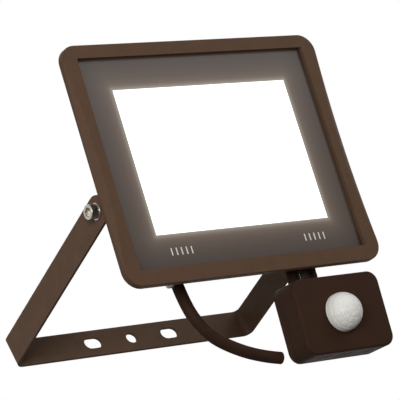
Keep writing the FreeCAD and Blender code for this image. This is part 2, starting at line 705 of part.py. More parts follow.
def rear_housing():
    """Cast tray with fins, pivot bosses and the connection box in one piece."""
    flange = plate(FLANGE, SKIRT_BACK_Y, FLANGE_BACK_Y, SKIRT_CORNER_RADIUS)
    body = taper(
        BODY_FRONT, FLANGE_BACK_Y, BODY_CORNER_RADIUS, BODY_BACK, FLOOR_BACK_Y, BODY_CORNER_RADIUS
    )
    tongue = plate(GLASS, SEAL_BACK_Y, SKIRT_BACK_Y)
    shell = fused([flange, body, tongue])
    cavity = taper(CAVITY_FRONT, SEAL_BACK_Y - 0.01, 3.0, CAVITY_BACK, FLOOR_Y, 3.0)
    shell = cut(shell, [cavity])

    added = []
    for x in fin_xs():
        low = BOX[3] + FIN_END_MARGIN
        if abs(x) > BOX[1] + FIN_THICKNESS:
            low = BODY_BACK[2] + FIN_END_MARGIN
        high = BODY_BACK[3] - FIN_END_MARGIN
        fin = block(
            x - FIN_THICKNESS / 2,
            x + FIN_THICKNESS / 2,
            FLOOR_BACK_Y - 0.5,
            FLOOR_BACK_Y + FIN_HEIGHT,
            low,
            high,
        )
        added.append(fin)
    box = plate(BOX, FLOOR_BACK_Y - 0.5, BOX_RIM_Y, BOX_CORNER_RADIUS)
    inner = inset(BOX, WALL, WALL, WALL)
    box = cut(box, [plate(inner, FLOOR_BACK_Y, BOX_RIM_Y + 1, BOX_CORNER_RADIUS - WALL)])
    added.append(box)
    for x, z in box_post_points():
        added.append(rod(BOX_POST_RADIUS, (x, FLOOR_BACK_Y - 0.5, z), Y_AXIS, BOX_DEPTH + 0.5))
    for x, z in standoff_points():
        base = (x, FLOOR_BACK_Y - 0.5, z)
        added.append(rod(STANDOFF_RADIUS, base, Y_AXIS, STANDOFF_HEIGHT + 0.5))
    boss_x = ARM_INNER_X - BOSS_ARM_GAP
    for side in (-1, 1):
        added.append(
            rod(BOSS_RADIUS, (side * boss_x, 0, 0), V(-side, 0, 0), BOSS_LENGTH)
        )
    pad_left = LEAD_X - LEAD_RADIUS - 1.0
    pad_right = HINGE_X + CLEVIS_HALF_WIDTH
    added.append(block(pad_left, pad_right, PAD_FRONT, PAD_BACK, PAD_Z, BOX_BOTTOM_Z + 0.5))
    earth_top = BOX_BOTTOM_Z + 0.5
    added.append(
        rod(
            EARTH_BOSS_RADIUS,
            (EARTH_SCREW_X, EARTH_SCREW_BEHIND_PIVOT, earth_top),
            V(0, 0, -1),
            EARTH_BOSS_LENGTH + 0.5,
        )
    )
    solid = fused([shell] + added)

    tools = []
    for point in frame_screw_points():
        tools.append(screw_hole(point, V(0, -1, 0), FRAME_SCREW_LENGTH, SMALL_SCREW_RADIUS))
    tools.extend(board_holes())
    for x, z in box_post_points():
        tools.append(
            screw_hole((x, COVER_BACK_Y, z), V(0, -1, 0), COVER_SCREW_LENGTH, SMALL_SCREW_RADIUS)
        )
    for side in (-1, 1):
        depth = PIVOT_SCREW_LENGTH - head_offset() + boss_x + 1.0
        tools.append(
            rod(
                PIVOT_SCREW_RADIUS + PIVOT_HOLE_CLEARANCE,
                (side * (boss_x + 1), 0, 0),
                V(-side, 0, 0),
                depth + 1.0,
            )
        )
    wire_hole = (WIRE_HOLE_X, FLOOR_Y - 1, WIRE_HOLE_Z)
    tools.append(rod(WIRE_HOLE_RADIUS, wire_hole, Y_AXIS, FLOOR_THICKNESS + 2))
    entry = (CORD_X, CORD_BEHIND_PIVOT, BOX_BOTTOM_Z - 1)
    tools.append(rod(GLAND_SHANK_RADIUS + SCREW_HOLE_CLEARANCE, entry, Z_AXIS, WALL + 2))
    lead_entry = (LEAD_X, LEAD_BEHIND_PIVOT, PAD_Z - 1)
    bush_hole = BUSH_SHANK_RADIUS + BUSH_BORE_CLEARANCE
    tools.append(rod(bush_hole, lead_entry, Z_AXIS, PAD_DROP + WALL + 2))
    for point in clevis_screw_points():
        tools.append(screw_hole(point, V(0, 0, -1), CLEVIS_SCREW_LENGTH, SMALL_SCREW_RADIUS))
    earth_face = BOX_BOTTOM_Z - EARTH_BOSS_LENGTH - EARTH_WASHER_THICKNESS
    tools.append(
        screw_hole(
            (EARTH_SCREW_X, EARTH_SCREW_BEHIND_PIVOT, earth_face),
            Z_AXIS,
            EARTH_SCREW_LENGTH,
            SMALL_SCREW_RADIUS,
        )
    )
    return cut(solid, tools)


def box_ring(width):
    """The outline of the connection box's wall with its corner posts."""
    inner = inset(BOX, width, width, width)
    ring = cut(
        plate(BOX, BOX_RIM_Y, COVER_Y, BOX_CORNER_RADIUS),
        [plate(inner, BOX_RIM_Y - 1, COVER_Y + 1, BOX_CORNER_RADIUS - width)],
    )
    posts = [
        rod(BOX_POST_RADIUS, (x, BOX_RIM_Y, z), Y_AXIS, COVER_SEAL_THICKNESS)
        for x, z in box_post_points()
    ]
    return fused([ring] + posts)


def cover_screw_holes():
    return [
        screw_hole((x, COVER_BACK_Y, z), V(0, -1, 0), COVER_SCREW_LENGTH, SMALL_SCREW_RADIUS)
        for x, z in box_post_points()
    ]


def cover_seal():
    return cut(box_ring(WALL), cover_screw_holes())


def rear_cover():
    cover = plate(BOX, COVER_Y, COVER_BACK_Y, BOX_CORNER_RADIUS)
    cover = cover.makeFillet(0.8, edges_on_plane(cover, "y", COVER_BACK_Y))
    return cut(cover, cover_screw_holes())


def cover_screws():
    return group(
        [
            small_screw((x, COVER_BACK_Y, z), V(0, -1, 0), COVER_SCREW_LENGTH)
            for x, z in box_post_points()
        ]
    )


# ------------------------------------------------------- inside the connection box
def terminal_rect():
    return centred(TERMINAL_X, TERMINAL_Z, TERMINAL_LENGTH, TERMINAL_HEIGHT)


def terminal_screw_points():
    left = TERMINAL_X - TERMINAL_LENGTH / 2
    step = TERMINAL_LENGTH / TERMINAL_WAYS
    y = FLOOR_BACK_Y + TERMINAL_DEPTH
    return [
        (left + step * (i + 0.5), y, TERMINAL_Z + dz)
        for i in range(TERMINAL_WAYS)
        for dz in (-TERMINAL_HEIGHT / 4, TERMINAL_HEIGHT / 4)
    ]


def terminal_ports():
    """A round way through each terminal from bottom to top."""
    left = TERMINAL_X - TERMINAL_LENGTH / 2
    step = TERMINAL_LENGTH / TERMINAL_WAYS
    y = FLOOR_BACK_Y + TERMINAL_DEPTH * 0.35
    return [(left + step * (i + 0.5), y) for i in range(TERMINAL_WAYS)]


def terminal_block():
    body = plate(terminal_rect(), FLOOR_BACK_Y, FLOOR_BACK_Y + TERMINAL_DEPTH, 1.0)
    tools = []
    for x, y, z in terminal_screw_points():
        tools.append(rod(TERMINAL_SCREW_RADIUS + 0.1, (x, y - 2.6, z), Y_AXIS, 4.0))
    bottom = TERMINAL_Z - TERMINAL_HEIGHT / 2 - 1
    top = TERMINAL_Z + TERMINAL_HEIGHT / 2 - TERMINAL_PORT_DEPTH
    for x, y in terminal_ports():
        for z in (bottom, top):
            tools.append(rod(CORE_RADIUS + 0.1, (x, y, z), Z_AXIS, TERMINAL_PORT_DEPTH + 1))
    return cut(body, tools)


def terminal_screws():
    screws = []
    for x, y, z in terminal_screw_points():
        screw = rod(TERMINAL_SCREW_RADIUS, (x, y - 2.6, z), Y_AXIS, 2.2)
        slot = block(x - 2, x + 2, y - 1.0, y + 1, z - 0.3, z + 0.3)
        screws.append(cut(screw, [slot]))
    return group(screws)


DRIVER_FACE_Y = FLOOR_BACK_Y + STANDOFF_HEIGHT + DRIVER_THICKNESS


def driver_board():
    return plate(DRIVER, FLOOR_BACK_Y + STANDOFF_HEIGHT, DRIVER_FACE_Y, 1.0)


def driver_coil():
    rect = centred(DRIVER_X + DRIVER_WIDTH / 4, DRIVER_Z, COIL_WIDTH, COIL_HEIGHT)
    return plate(rect, DRIVER_FACE_Y, DRIVER_FACE_Y + COIL_DEPTH, 1.0)


def driver_capacitor():
    low = DRIVER_Z - DRIVER_CAP_LENGTH / 2
    start = (DRIVER_X - DRIVER_WIDTH / 4, DRIVER_FACE_Y + DRIVER_CAP_RADIUS, low)
    return rod(DRIVER_CAP_RADIUS, start, Z_AXIS, DRIVER_CAP_LENGTH)


def led_leads():
    """Two thin wires from the driver through the floor to the board."""
    wires = []
    for offset in (-WIRE_SPACING / 2, WIRE_SPACING / 2):
        x = WIRE_HOLE_X + offset
        driver_edge = DRIVER[0] + 4 + 2 * offset
        points = [
            (driver_edge, DRIVER_FACE_Y + WIRE_RADIUS, DRIVER[2] + 3 + offset),
            (driver_edge, DRIVER_FACE_Y + WIRE_RADIUS + 2.0, DRIVER[2] + 2 + offset),
            (x, DRIVER_FACE_Y + WIRE_RADIUS + 2.0, WIRE_HOLE_Z + 0.6),
            (x, LED_FACE_Y - WIRE_RADIUS - 1.2, WIRE_HOLE_Z),
            (x, LED_FACE_Y - WIRE_RADIUS - 0.05, LED_BOARD[2] + WIRE_END_ON_BOARD),
        ]
        wires.append(tube(points, WIRE_RADIUS)[0])
    return group(wires)


def mains_leads():
    """The cord's three cores, from the end of its sheath to the terminals."""
    top = CORD_START_Z + CORD_TAIL_LENGTH
    cores = []
    for index, (x, y) in enumerate(terminal_ports()):
        angle = math.radians(90 + 120 * index)
        spread = CORD_RADIUS * 0.45
        start_x = CORD_X + (index - 1) * spread
        start_y = CORD_BEHIND_PIVOT + (spread * 0.6 if index == 1 else -spread * 0.4)
        port_z = TERMINAL_Z - TERMINAL_HEIGHT / 2
        points = [
            (start_x, start_y, top),
            (start_x, start_y, top + 3.5),
            (x, y, port_z - 4.0),
            (x, y, port_z + 2.5),
        ]
        cores.append(tube(points, CORE_RADIUS)[0])
    return group(cores)


# ------------------------------------------------------------------ cord entry
def gland_axis_start(z):
    return (CORD_X, CORD_BEHIND_PIVOT, z)


def cable_gland():
    low = CORD_START_Z
    flange = rod(GLAND_FLANGE_RADIUS, gland_axis_start(low), Z_AXIS, GLAND_FLANGE_THICKNESS)
    rim = edges_on_plane(flange, "z", low)
    flange = flange.makeFillet(1.0, rim)
    shank_length = GLAND_FLANGE_THICKNESS + GLAND_SHANK_LENGTH - 1
    shank = rod(GLAND_SHANK_RADIUS, gland_axis_start(low + 1), Z_AXIS, shank_length)
    length = GLAND_FLANGE_THICKNESS + GLAND_SHANK_LENGTH + 2
    bore = rod(CORD_RADIUS + GLAND_BORE_CLEARANCE, gland_axis_start(low - 1), Z_AXIS, length)
    return cut(fused([flange, shank]), [bore])


def gland_seal():
    z = BOX_BOTTOM_Z - GLAND_SEAL_THICKNESS
    ring = rod(GLAND_FLANGE_RADIUS - 0.3, gland_axis_start(z), Z_AXIS, GLAND_SEAL_THICKNESS)
    length = GLAND_SEAL_THICKNESS + 2
    bore = rod(GLAND_SHANK_RADIUS + SCREW_HOLE_CLEARANCE, gland_axis_start(z - 1), Z_AXIS, length)
    return cut(ring, [bore])


def gland_nut():
    z = BOX_BOTTOM_Z + WALL
    top = z + GLAND_NUT_THICKNESS + 1
    nut = hexagon(GLAND_NUT_FLATS, gland_axis_start(z), Z_AXIS, GLAND_NUT_THICKNESS)
    bore_radius = GLAND_SHANK_RADIUS + SCREW_HOLE_CLEARANCE
    bore = rod(bore_radius, gland_axis_start(z - 1), Z_AXIS, top - z + 1)
    left, right = CORD_X - GLAND_NUT_FLATS, CORD_X + GLAND_NUT_FLATS
    keep = block(left, right, FLOOR_BACK_Y + 0.2, COVER_Y - 0.2, z - 1, top)
    return cut(nut.common(keep), [bore])


def cord_tail():
    """The cord inside the gland and the box; its lower end is square to the first run."""
    low = CORD_START_Z - 2 * CORD_RADIUS
    tail = rod(CORD_RADIUS, gland_axis_start(low), Z_AXIS, CORD_TAIL_LENGTH + 2 * CORD_RADIUS)
    start, after = V(*CORD_ROUTE[0]), V(*CORD_ROUTE[1])
    below = Part.makeCylinder(4 * CORD_RADIUS, 4 * CORD_RADIUS, start, (after - start).normalize())
    return cut(tail, [below])


def supply_cord():
    shape, path = tube(CORD_ROUTE, CORD_RADIUS)
    radii = arc_radii([V(*p) for p in CORD_ROUTE])
    swept = math.pi * CORD_RADIUS**2 * path.Length
    print("supply cord: length %.1f mm" % path.Length)
    print("supply cord: volume %.1f, section x length %.1f" % (shape.Volume, swept))
    print("supply cord radii: " + ", ".join("%.1f" % r for r in radii))
    return shape


def earth_screw():
    z = BOX_BOTTOM_Z - EARTH_BOSS_LENGTH
    x, y = EARTH_SCREW_X, EARTH_SCREW_BEHIND_PIVOT
    under = (x, y, z - EARTH_WASHER_THICKNESS)
    washer = cut(
        rod(EARTH_HEAD_RADIUS + 0.35, under, Z_AXIS, EARTH_WASHER_THICKNESS),
        [rod(SMALL_SCREW_RADIUS + 0.1, (x, y, z - 2), Z_AXIS, 4)],
    )
    screw = pan_screw(
        under,
        Z_AXIS,
        EARTH_SCREW_LENGTH,
        SMALL_SCREW_RADIUS,
        EARTH_HEAD_RADIUS,
        EARTH_HEAD_HEIGHT,
    )
    return group([washer, screw])


# --------------------------------------------------------------------- bracket
def slot_cutter(x):
    half = SLOT_WIDTH / 2
    straight = SLOT_LENGTH / 2 - half
    middle = block(x - straight, x + straight, -STRIP_THICKNESS - 1, 1, -half, half)
    ends = [
        rod(half, (x + dx, -STRIP_THICKNESS - 1, 0), Y_AXIS, STRIP_THICKNESS + 2)
        for dx in (-straight, straight)
    ]
    return fused([middle] + ends)


def upright_edges(shape, y):
    """The edges in the plane of one y that run up and down."""
    return [e for e in edges_on_plane(shape, "y", y) if e.BoundBox.ZLength > e.BoundBox.XLength]


def mounting_bracket():
    """One bent steel strip: the base against the wall and two arms."""
    half = STRIP_WIDTH / 2
    outer_radius = BEND_INNER_RADIUS + STRIP_THICKNESS
    tip = -PIVOT_FROM_WALL - half
    outer = block(-ARM_OUTER_X, ARM_OUTER_X, tip, 0, -half, half)
    outer = outer.makeFillet(outer_radius, upright_edges(outer, 0))
    inner = block(-ARM_INNER_X, ARM_INNER_X, tip - 1, -STRIP_THICKNESS, -half - 1, half + 1)
    inner = inner.makeFillet(BEND_INNER_RADIUS, upright_edges(inner, -STRIP_THICKNESS))
    strip = cut(outer, [inner])
    wide = ARM_OUTER_X + 1
    beyond = block(-wide, wide, tip - 1, -PIVOT_FROM_WALL, -half - 1, half + 1)
    tip_round = rod(half, (-ARM_OUTER_X - 2, -PIVOT_FROM_WALL, 0), X_AXIS, 2 * ARM_OUTER_X + 4)
    strip = cut(strip, [cut(beyond, [tip_round])])
    pivot = rod(
        PIVOT_SCREW_RADIUS + PIVOT_HOLE_CLEARANCE,
        (-ARM_OUTER_X - 2, -PIVOT_FROM_WALL, 0),
        X_AXIS,
        2 * ARM_OUTER_X + 4,
    )
    centre = rod(CENTRE_HOLE_RADIUS, (0, -STRIP_THICKNESS - 1, 0), Y_AXIS, STRIP_THICKNESS + 2)
    slots = [slot_cutter(-SLOT_SPACING / 2), slot_cutter(SLOT_SPACING / 2)]
    return cut(strip, [pivot, centre] + slots)


# ---------------------------------------------------------------- pivot screws
def washer_face():
    """How far out the flat washer's inner face lies, from the middle."""
    return ARM_OUTER_X + WASHER_ARM_GAP


def head_offset():
    """How far out the underside of the screw's head lies."""
    return washer_face() + FLAT_WASHER_THICKNESS + SPRING_WASHER_THICKNESS


def pivot_screws():
    screws = []
    for side in (-1, 1):
        out = V(side, 0, 0)
        start = (side * head_offset(), 0, 0)
        head = Part.makeCylinder(PIVOT_HEAD_RADIUS, PIVOT_HEAD_HEIGHT, V(*start), out)
        outer_x = side * (head_offset() + PIVOT_HEAD_HEIGHT)
        head = head.makeFillet(0.5, edges_on_plane(head, "x", outer_x))
        shank = Part.makeCylinder(PIVOT_SCREW_RADIUS, PIVOT_SCREW_LENGTH, V(*start), out * -1)
        socket = hexagon(
            PIVOT_SOCKET_FLATS,
            (side * (head_offset() + PIVOT_HEAD_HEIGHT - PIVOT_SOCKET_DEPTH), 0, 0),
            out,
            PIVOT_SOCKET_DEPTH + 1,
        )
        screws.append(cut(fused([head, shank]), [socket]))
    return group(screws)


def washer(side, face, radius, thickness):
    ring = rod(radius, (side * face, 0, 0), V(side, 0, 0), thickness)
    bore = rod(
        PIVOT_SCREW_RADIUS + WASHER_BORE_CLEARANCE,
        (side * (face - 1), 0, 0),
        V(side, 0, 0),
        thickness + 2,
    )
    return cut(ring, [bore])


def flat_washers():
    face = washer_face()
    return group(
        [washer(side, face, FLAT_WASHER_RADIUS, FLAT_WASHER_THICKNESS) for side in (-1, 1)]
    )


def spring_washers():
    """Split rings, each cut through once."""
    rings = []
    face = washer_face() + FLAT_WASHER_THICKNESS
    for side in (-1, 1):
        ring = washer(side, face, SPRING_WASHER_RADIUS, SPRING_WASHER_THICKNESS)
        x0, x1 = sorted((side * (face - 1), side * (face + SPRING_WASHER_THICKNESS + 1)))
        slit = block(
            x0, x1, -SPRING_WASHER_SLIT / 2, SPRING_WASHER_SLIT / 2, 0, SPRING_WASHER_RADIUS + 1
        )
        rings.append(cut(ring, [slit]))
    return group(rings)


# ---------------------------------------------------------------- sensor hinge
def across(radius, x0, x1):
    """A rod along X about the hinge's axis."""
    return rod(radius, (x0, HINGE_Y, HINGE_Z), X_AXIS, x1 - x0)


def sensor_bracket():
    """A clevis under the connection box: its foot, and two straight ears for the hinge."""
    left, right, front, back = clevis_foot()
    foot = block(left, right, front, back, FOOT_Z, PAD_Z)
    ears_left = HINGE_X - CLEVIS_HALF_WIDTH
    y0, y1 = HINGE_Y - CLEVIS_DEPTH / 2, HINGE_Y + CLEVIS_DEPTH / 2
    body = block(ears_left, right, y0, y1, HINGE_Z, PAD_Z)
    tips = across(EYE_RADIUS, ears_left, right)
    slot_half = EYE_WIDTH / 2 + EAR_GAP
    slot = block(
        HINGE_X - slot_half,
        HINGE_X + slot_half,
        y0 - 1,
        y1 + 1,
        HINGE_Z - EYE_RADIUS - 1,
        HINGE_Z + EYE_RADIUS + EYE_TIP_CLEARANCE,
    )
    tools = [slot, across(HINGE_SCREW_RADIUS + HINGE_CLEARANCE, ears_left - 1, right + 1)]
    head_face = ears_left + HINGE_END_RECESS + HINGE_HEAD_HEIGHT
    tools.append(across(HINGE_HEAD_RADIUS + HINGE_CLEARANCE, ears_left - 1, head_face))
    nut_face = right - HINGE_END_RECESS - HINGE_NUT_THICKNESS
    nut_room = HINGE_NUT_FLATS + 2 * HINGE_CLEARANCE
    tools.append(hexagon(nut_room, (nut_face, HINGE_Y, HINGE_Z), X_AXIS, right + 1 - nut_face))
    for point in clevis_screw_points():
        tools.append(screw_hole(point, V(0, 0, -1), CLEVIS_SCREW_LENGTH, SMALL_SCREW_RADIUS))
    return cut(fused([foot, body, tips]), tools)


def sensor_bracket_screws():
    return group([small_screw(p, V(0, 0, -1), CLEVIS_SCREW_LENGTH) for p in clevis_screw_points()])


def hinge_screw():
    left = HINGE_X - CLEVIS_HALF_WIDTH + HINGE_END_RECESS
    right = HINGE_X + CLEVIS_HALF_WIDTH - HINGE_END_RECESS
    head = across(HINGE_HEAD_RADIUS, left, left + HINGE_HEAD_HEIGHT)
    shank = across(HINGE_SCREW_RADIUS, left + HINGE_HEAD_HEIGHT - 0.5, right)
    recess = across(HINGE_SCREW_RADIUS * 0.7, left - 1, left + HINGE_HEAD_HEIGHT / 2)
    return cut(fused([head, shank]), [recess])


def hinge_nut():
    right = HINGE_X + CLEVIS_HALF_WIDTH - HINGE_END_RECESS
    left = right - HINGE_NUT_THICKNESS
    nut = hexagon(HINGE_NUT_FLATS, (left, HINGE_Y, HINGE_Z), X_AXIS, HINGE_NUT_THICKNESS)
    return cut(nut, [across(HINGE_SCREW_RADIUS + SCREW_HOLE_CLEARANCE, left - 1, right + 1)])


# ---------------------------------------------------------------------- sensor
def sensor_post_points():
    left, right, low, high = inset(SENSOR, SENSOR_POST_INSET, SENSOR_POST_INSET, SENSOR_POST_INSET)
    return [(x, z) for x in (left, right) for z in (low, high)]


def sensor_screw_holes():
    head_y = SENSOR_BACK_Y - SMALL_HEAD_HEIGHT
    holes = []
    for x, z in sensor_post_points():
        under = (x, head_y, z)
        holes.append(screw_hole(under, V(0, -1, 0), SENSOR_SCREW_LENGTH, SMALL_SCREW_RADIUS))
        holes.append(rod(SMALL_HEAD_RADIUS + 0.2, under, Y_AXIS, SMALL_HEAD_HEIGHT + 1))
    return holes


def lens_centre():
    return (SENSOR_X - LENS_LEFT_OF_CENTRE, SENSOR_FRONT_Y, SENSOR_TOP_Z - SENSOR_HEIGHT / 2)


def knob_xs():
    return [SENSOR_X + i * KNOB_SPACING for i in (-1, 0, 1)]


def sensor_front_cover():
    """The sensor's front half, with the lens opening and the adjusters' wells."""
    shell = plate(SENSOR, SENSOR_FRONT_Y, SENSOR_SPLIT_Y, SENSOR_CORNER_RADIUS)
    shell = shell.makeFillet(SENSOR_FRONT_ROUND, edges_on_plane(shell, "y", SENSOR_FRONT_Y))
    inner = inset(SENSOR, SENSOR_WALL, SENSOR_WALL, SENSOR_WALL)
    hollow = plate(
        inner, SENSOR_FRONT_Y + SENSOR_WALL, SENSOR_SPLIT_Y + 1, SENSOR_CORNER_RADIUS - SENSOR_WALL
    )
    shell = cut(shell, [hollow])
    added = []
    face = SENSOR_FRONT_Y + SENSOR_WALL - 0.5
    for x, z in sensor_post_points():
        added.append(rod(SENSOR_POST_RADIUS, (x, face, z), Y_AXIS, SENSOR_SPLIT_Y - face))
    for x in knob_xs():
        added.append(
            rod(
                KNOB_WELL_BOSS,
                (x, KNOB_Y, SENSOR[2] + 0.5),
                Z_AXIS,
                KNOB_WELL_DEPTH + KNOB_WELL_BOSS_HEIGHT - 0.5,
            )
        )
    x, y, z = lens_centre()
    seat_radius = LENS_RADIUS + LENS_CLEARANCE
    rim_y = y - LENS_SEAT_RIM_HEIGHT
    rim = rod(seat_radius + LENS_SEAT_RIM_WIDTH, (x, rim_y, z), Y_AXIS, LENS_SEAT_RIM_HEIGHT + 1)
    front_ring = edges_on_plane(rim, "y", rim_y)
    added.append(rim.makeFillet(LENS_SEAT_RIM_HEIGHT * 0.8, front_ring))
    solid = fused([shell] + added)
    tools = [rod(seat_radius, (x, y - 3, z), Y_AXIS, 3 + SENSOR_WALL + 1)]
    bore_length = KNOB_WELL_DEPTH + KNOB_WELL_BOSS_HEIGHT + 2
    for kx in knob_xs():
        below = (kx, KNOB_Y, SENSOR[2] - 1)
        tools.append(rod(KNOB_RADIUS + KNOB_GAP, below, Z_AXIS, 1 + KNOB_WELL_DEPTH))
        tools.append(rod(KNOB_SHAFT_RADIUS + HINGE_CLEARANCE, below, Z_AXIS, bore_length))
    return cut(solid, tools + sensor_screw_holes() + [bush_way()])


def bush_way():
    """The bush's way through the sensor's top, cut from both halves."""
    start = (LEAD_X, LEAD_BEHIND_PIVOT, SENSOR[3] - SENSOR_WALL - 1)
    return rod(BUSH_SHANK_RADIUS + BUSH_BORE_CLEARANCE, start, Z_AXIS, SENSOR_WALL + 2)


def sensor_rear_case():
    """The sensor's back half, with the eye of its hinge."""
    shell = plate(SENSOR, SENSOR_CASE_Y, SENSOR_BACK_Y, SENSOR_CORNER_RADIUS)
    shell = shell.makeFillet(SENSOR_BACK_ROUND, edges_on_plane(shell, "y", SENSOR_BACK_Y))
    inner = inset(SENSOR, SENSOR_WALL, SENSOR_WALL, SENSOR_WALL)
    hollow = plate(
        inner, SENSOR_CASE_Y - 1, SENSOR_BACK_Y - SENSOR_WALL, SENSOR_CORNER_RADIUS - SENSOR_WALL
    )
    shell = cut(shell, [hollow])
    added = []
    post_length = SENSOR_BACK_Y - SENSOR_CASE_Y - 0.5
    for x, z in sensor_post_points():
        added.append(rod(SENSOR_POST_RADIUS, (x, SENSOR_CASE_Y, z), Y_AXIS, post_length))
    left, right = HINGE_X - EYE_WIDTH / 2, HINGE_X + EYE_WIDTH / 2
    added.append(across(EYE_RADIUS, left, right))
    added.append(block(left, right, SENSOR_CASE_Y, HINGE_Y + EYE_RADIUS, SENSOR[3] - 0.5, HINGE_Z))
    solid = fused([shell] + added)
    bore = across(HINGE_SCREW_RADIUS + HINGE_CLEARANCE, left - 1, right + 1)
    return cut(solid, [bore] + sensor_screw_holes() + [bush_way()])


def sensor_seal():
    outer = inset(SENSOR, SENSOR_SEAL_INSET, SENSOR_SEAL_INSET, SENSOR_SEAL_INSET)
    inner = inset(SENSOR, SENSOR_WALL, SENSOR_WALL, SENSOR_WALL)
    ring = plate(outer, SENSOR_SPLIT_Y, SENSOR_CASE_Y, SENSOR_CORNER_RADIUS - SENSOR_SEAL_INSET)
    hollow = plate(inner, SENSOR_SPLIT_Y - 1, SENSOR_CASE_Y + 1, SENSOR_CORNER_RADIUS - SENSOR_WALL)
    return cut(ring, [hollow, bush_way()])


def sensor_case_screws():
    head_y = SENSOR_BACK_Y - SMALL_HEAD_HEIGHT
    return group(
        [
            small_screw((x, head_y, z), V(0, -1, 0), SENSOR_SCREW_LENGTH)
            for x, z in sensor_post_points()
        ]
    )


def dome(radius, y, reach, base_y):
    """A round-ended rod along -Y: a half ball in front of a straight part."""
    x, _, z = lens_centre()
    ball = Part.makeSphere(radius, V(x, y - reach + radius, z))
    straight = rod(radius, (x, y - reach + radius, z), Y_AXIS, base_y - (y - reach + radius))
    front = rod(radius, (x, y - reach - 1, z), Y_AXIS, radius + 1)
    return fused([ball.common(front), straight])


def sensor_lens():
    """A thin domed lens with a flange behind the cover's front wall."""
    x, y, z = lens_centre()
    inside = y + SENSOR_WALL
    flange = rod(LENS_RADIUS + LENS_FLANGE_WIDTH, (x, inside, z), Y_AXIS, LENS_FLANGE_THICKNESS)
    solid = fused([dome(LENS_RADIUS, y, LENS_RISE, inside), flange])
    base = inside + LENS_FLANGE_THICKNESS + 1
    hollow = dome(LENS_RADIUS - LENS_WALL, y, LENS_RISE - LENS_WALL, base)
    return cut(solid, [hollow])


def sensor_board():
    margin = SENSOR_WALL + SENSOR_BOARD_MARGIN
    rect = inset(SENSOR, margin, margin, margin)
    board = plate(rect, SENSOR_BOARD_Y, SENSOR_BOARD_Y + SENSOR_BOARD_THICKNESS, 2.0)
    front = SENSOR_BOARD_Y - 1
    notches = [
        rod(SENSOR_POST_RADIUS + 0.3, (x, front, z), Y_AXIS, SENSOR_BOARD_THICKNESS + 2)
        for x, z in sensor_post_points()
    ]
    return cut(board, notches)


def pir_detector():
    x, y, z = lens_centre()
    base = rod(DETECTOR_BASE_RADIUS, (x, SENSOR_BOARD_Y, z), V(0, -1, 0), DETECTOR_BASE_HEIGHT)
    can = rod(DETECTOR_RADIUS, (x, SENSOR_BOARD_Y, z), V(0, -1, 0), DETECTOR_HEIGHT)
    can_y = SENSOR_BOARD_Y - DETECTOR_HEIGHT
    can = can.makeFillet(0.6, edges_on_plane(can, "y", can_y))
    window = block(x - 2, x + 2, can_y - 1, can_y + 0.2, z - 1.5, z + 1.5)
    return cut(fused([base, can]), [window])


def sensor_relay():
    x = SENSOR[0] + SENSOR_WALL + RELAY_FROM_WALL + RELAY_WIDTH / 2
    z = (SENSOR[2] + SENSOR[3]) / 2
    rect = centred(x, z, RELAY_WIDTH, RELAY_HEIGHT)
    return plate(rect, SENSOR_BOARD_Y - RELAY_DEPTH, SENSOR_BOARD_Y, 0.8)


def sensor_capacitor():
    x = SENSOR[1] - SENSOR_WALL - CAPACITOR_FROM_WALL - CAPACITOR_RADIUS
    z = (SENSOR[2] + SENSOR[3]) / 2
    can = rod(CAPACITOR_RADIUS, (x, SENSOR_BOARD_Y, z), V(0, -1, 0), CAPACITOR_HEIGHT)
    return can.makeFillet(0.4, edges_on_plane(can, "y", SENSOR_BOARD_Y - CAPACITOR_HEIGHT))


def knob_floor():
    """The inner end of the wells' bosses, above which the adjusters' bodies sit."""
    return SENSOR[2] + KNOB_WELL_DEPTH + KNOB_WELL_BOSS_HEIGHT


def adjusters():
    """The three adjusters' bodies, soldered to the board."""
    bodies = []
    low = knob_floor() + KNOB_GAP
    front = SENSOR_BOARD_Y - POT_WIDTH
    for x in knob_xs():
        left, right = x - POT_WIDTH / 2, x + POT_WIDTH / 2
        body = block(left, right, front, SENSOR_BOARD_Y, low, low + POT_HEIGHT)
        bore = rod(KNOB_SHAFT_RADIUS + HINGE_CLEARANCE, (x, KNOB_Y, low - 1), Z_AXIS, POT_HEIGHT)
        bodies.append(cut(body, [bore]))
    return group(bodies)


def knob(x):
    """One slotted adjuster knob on its short shaft."""
    top = SENSOR[2] + KNOB_WELL_DEPTH - KNOB_GAP
    disc = rod(KNOB_RADIUS, (x, KNOB_Y, top - KNOB_THICKNESS), Z_AXIS, KNOB_THICKNESS)
    disc = disc.makeFillet(0.3, edges_on_plane(disc, "z", top - KNOB_THICKNESS))
    shaft = rod(KNOB_SHAFT_RADIUS, (x, KNOB_Y, top - 0.2), Z_AXIS, KNOB_SHAFT_LENGTH + 0.2)
    slot = block(
        x - KNOB_RADIUS - 1,
        x + KNOB_RADIUS + 1,
        KNOB_Y - KNOB_SLOT_WIDTH / 2,
        KNOB_Y + KNOB_SLOT_WIDTH / 2,
        top - KNOB_THICKNESS - 1,
        top - KNOB_THICKNESS + KNOB_SLOT_DEPTH,
    )
    return cut(fused([disc, shaft]), [slot])


# ------------------------------------------------------------------ sensor lead
def bush(face_z, wall_top, flange_height, up):
    """A rubber bush in a wall: its flange stands off the wall, its shank goes through."""
    axis = V(0, 0, up)
    flange = rod(LEAD_RADIUS, (LEAD_X, LEAD_BEHIND_PIVOT, face_z), axis, flange_height)
    reach = abs(face_z - wall_top) + 0.5
    shank = rod(BUSH_SHANK_RADIUS, (LEAD_X, LEAD_BEHIND_PIVOT, wall_top), axis, reach)
    return fused([flange, shank])


def lead_bush_upper():
    return bush(PAD_Z, BOX_BOTTOM_Z + WALL, UPPER_BUSH_HEIGHT, -1)


def lead_bush_lower():
    return bush(SENSOR[3], SENSOR[3] - SENSOR_WALL, LOWER_BUSH_HEIGHT, 1)


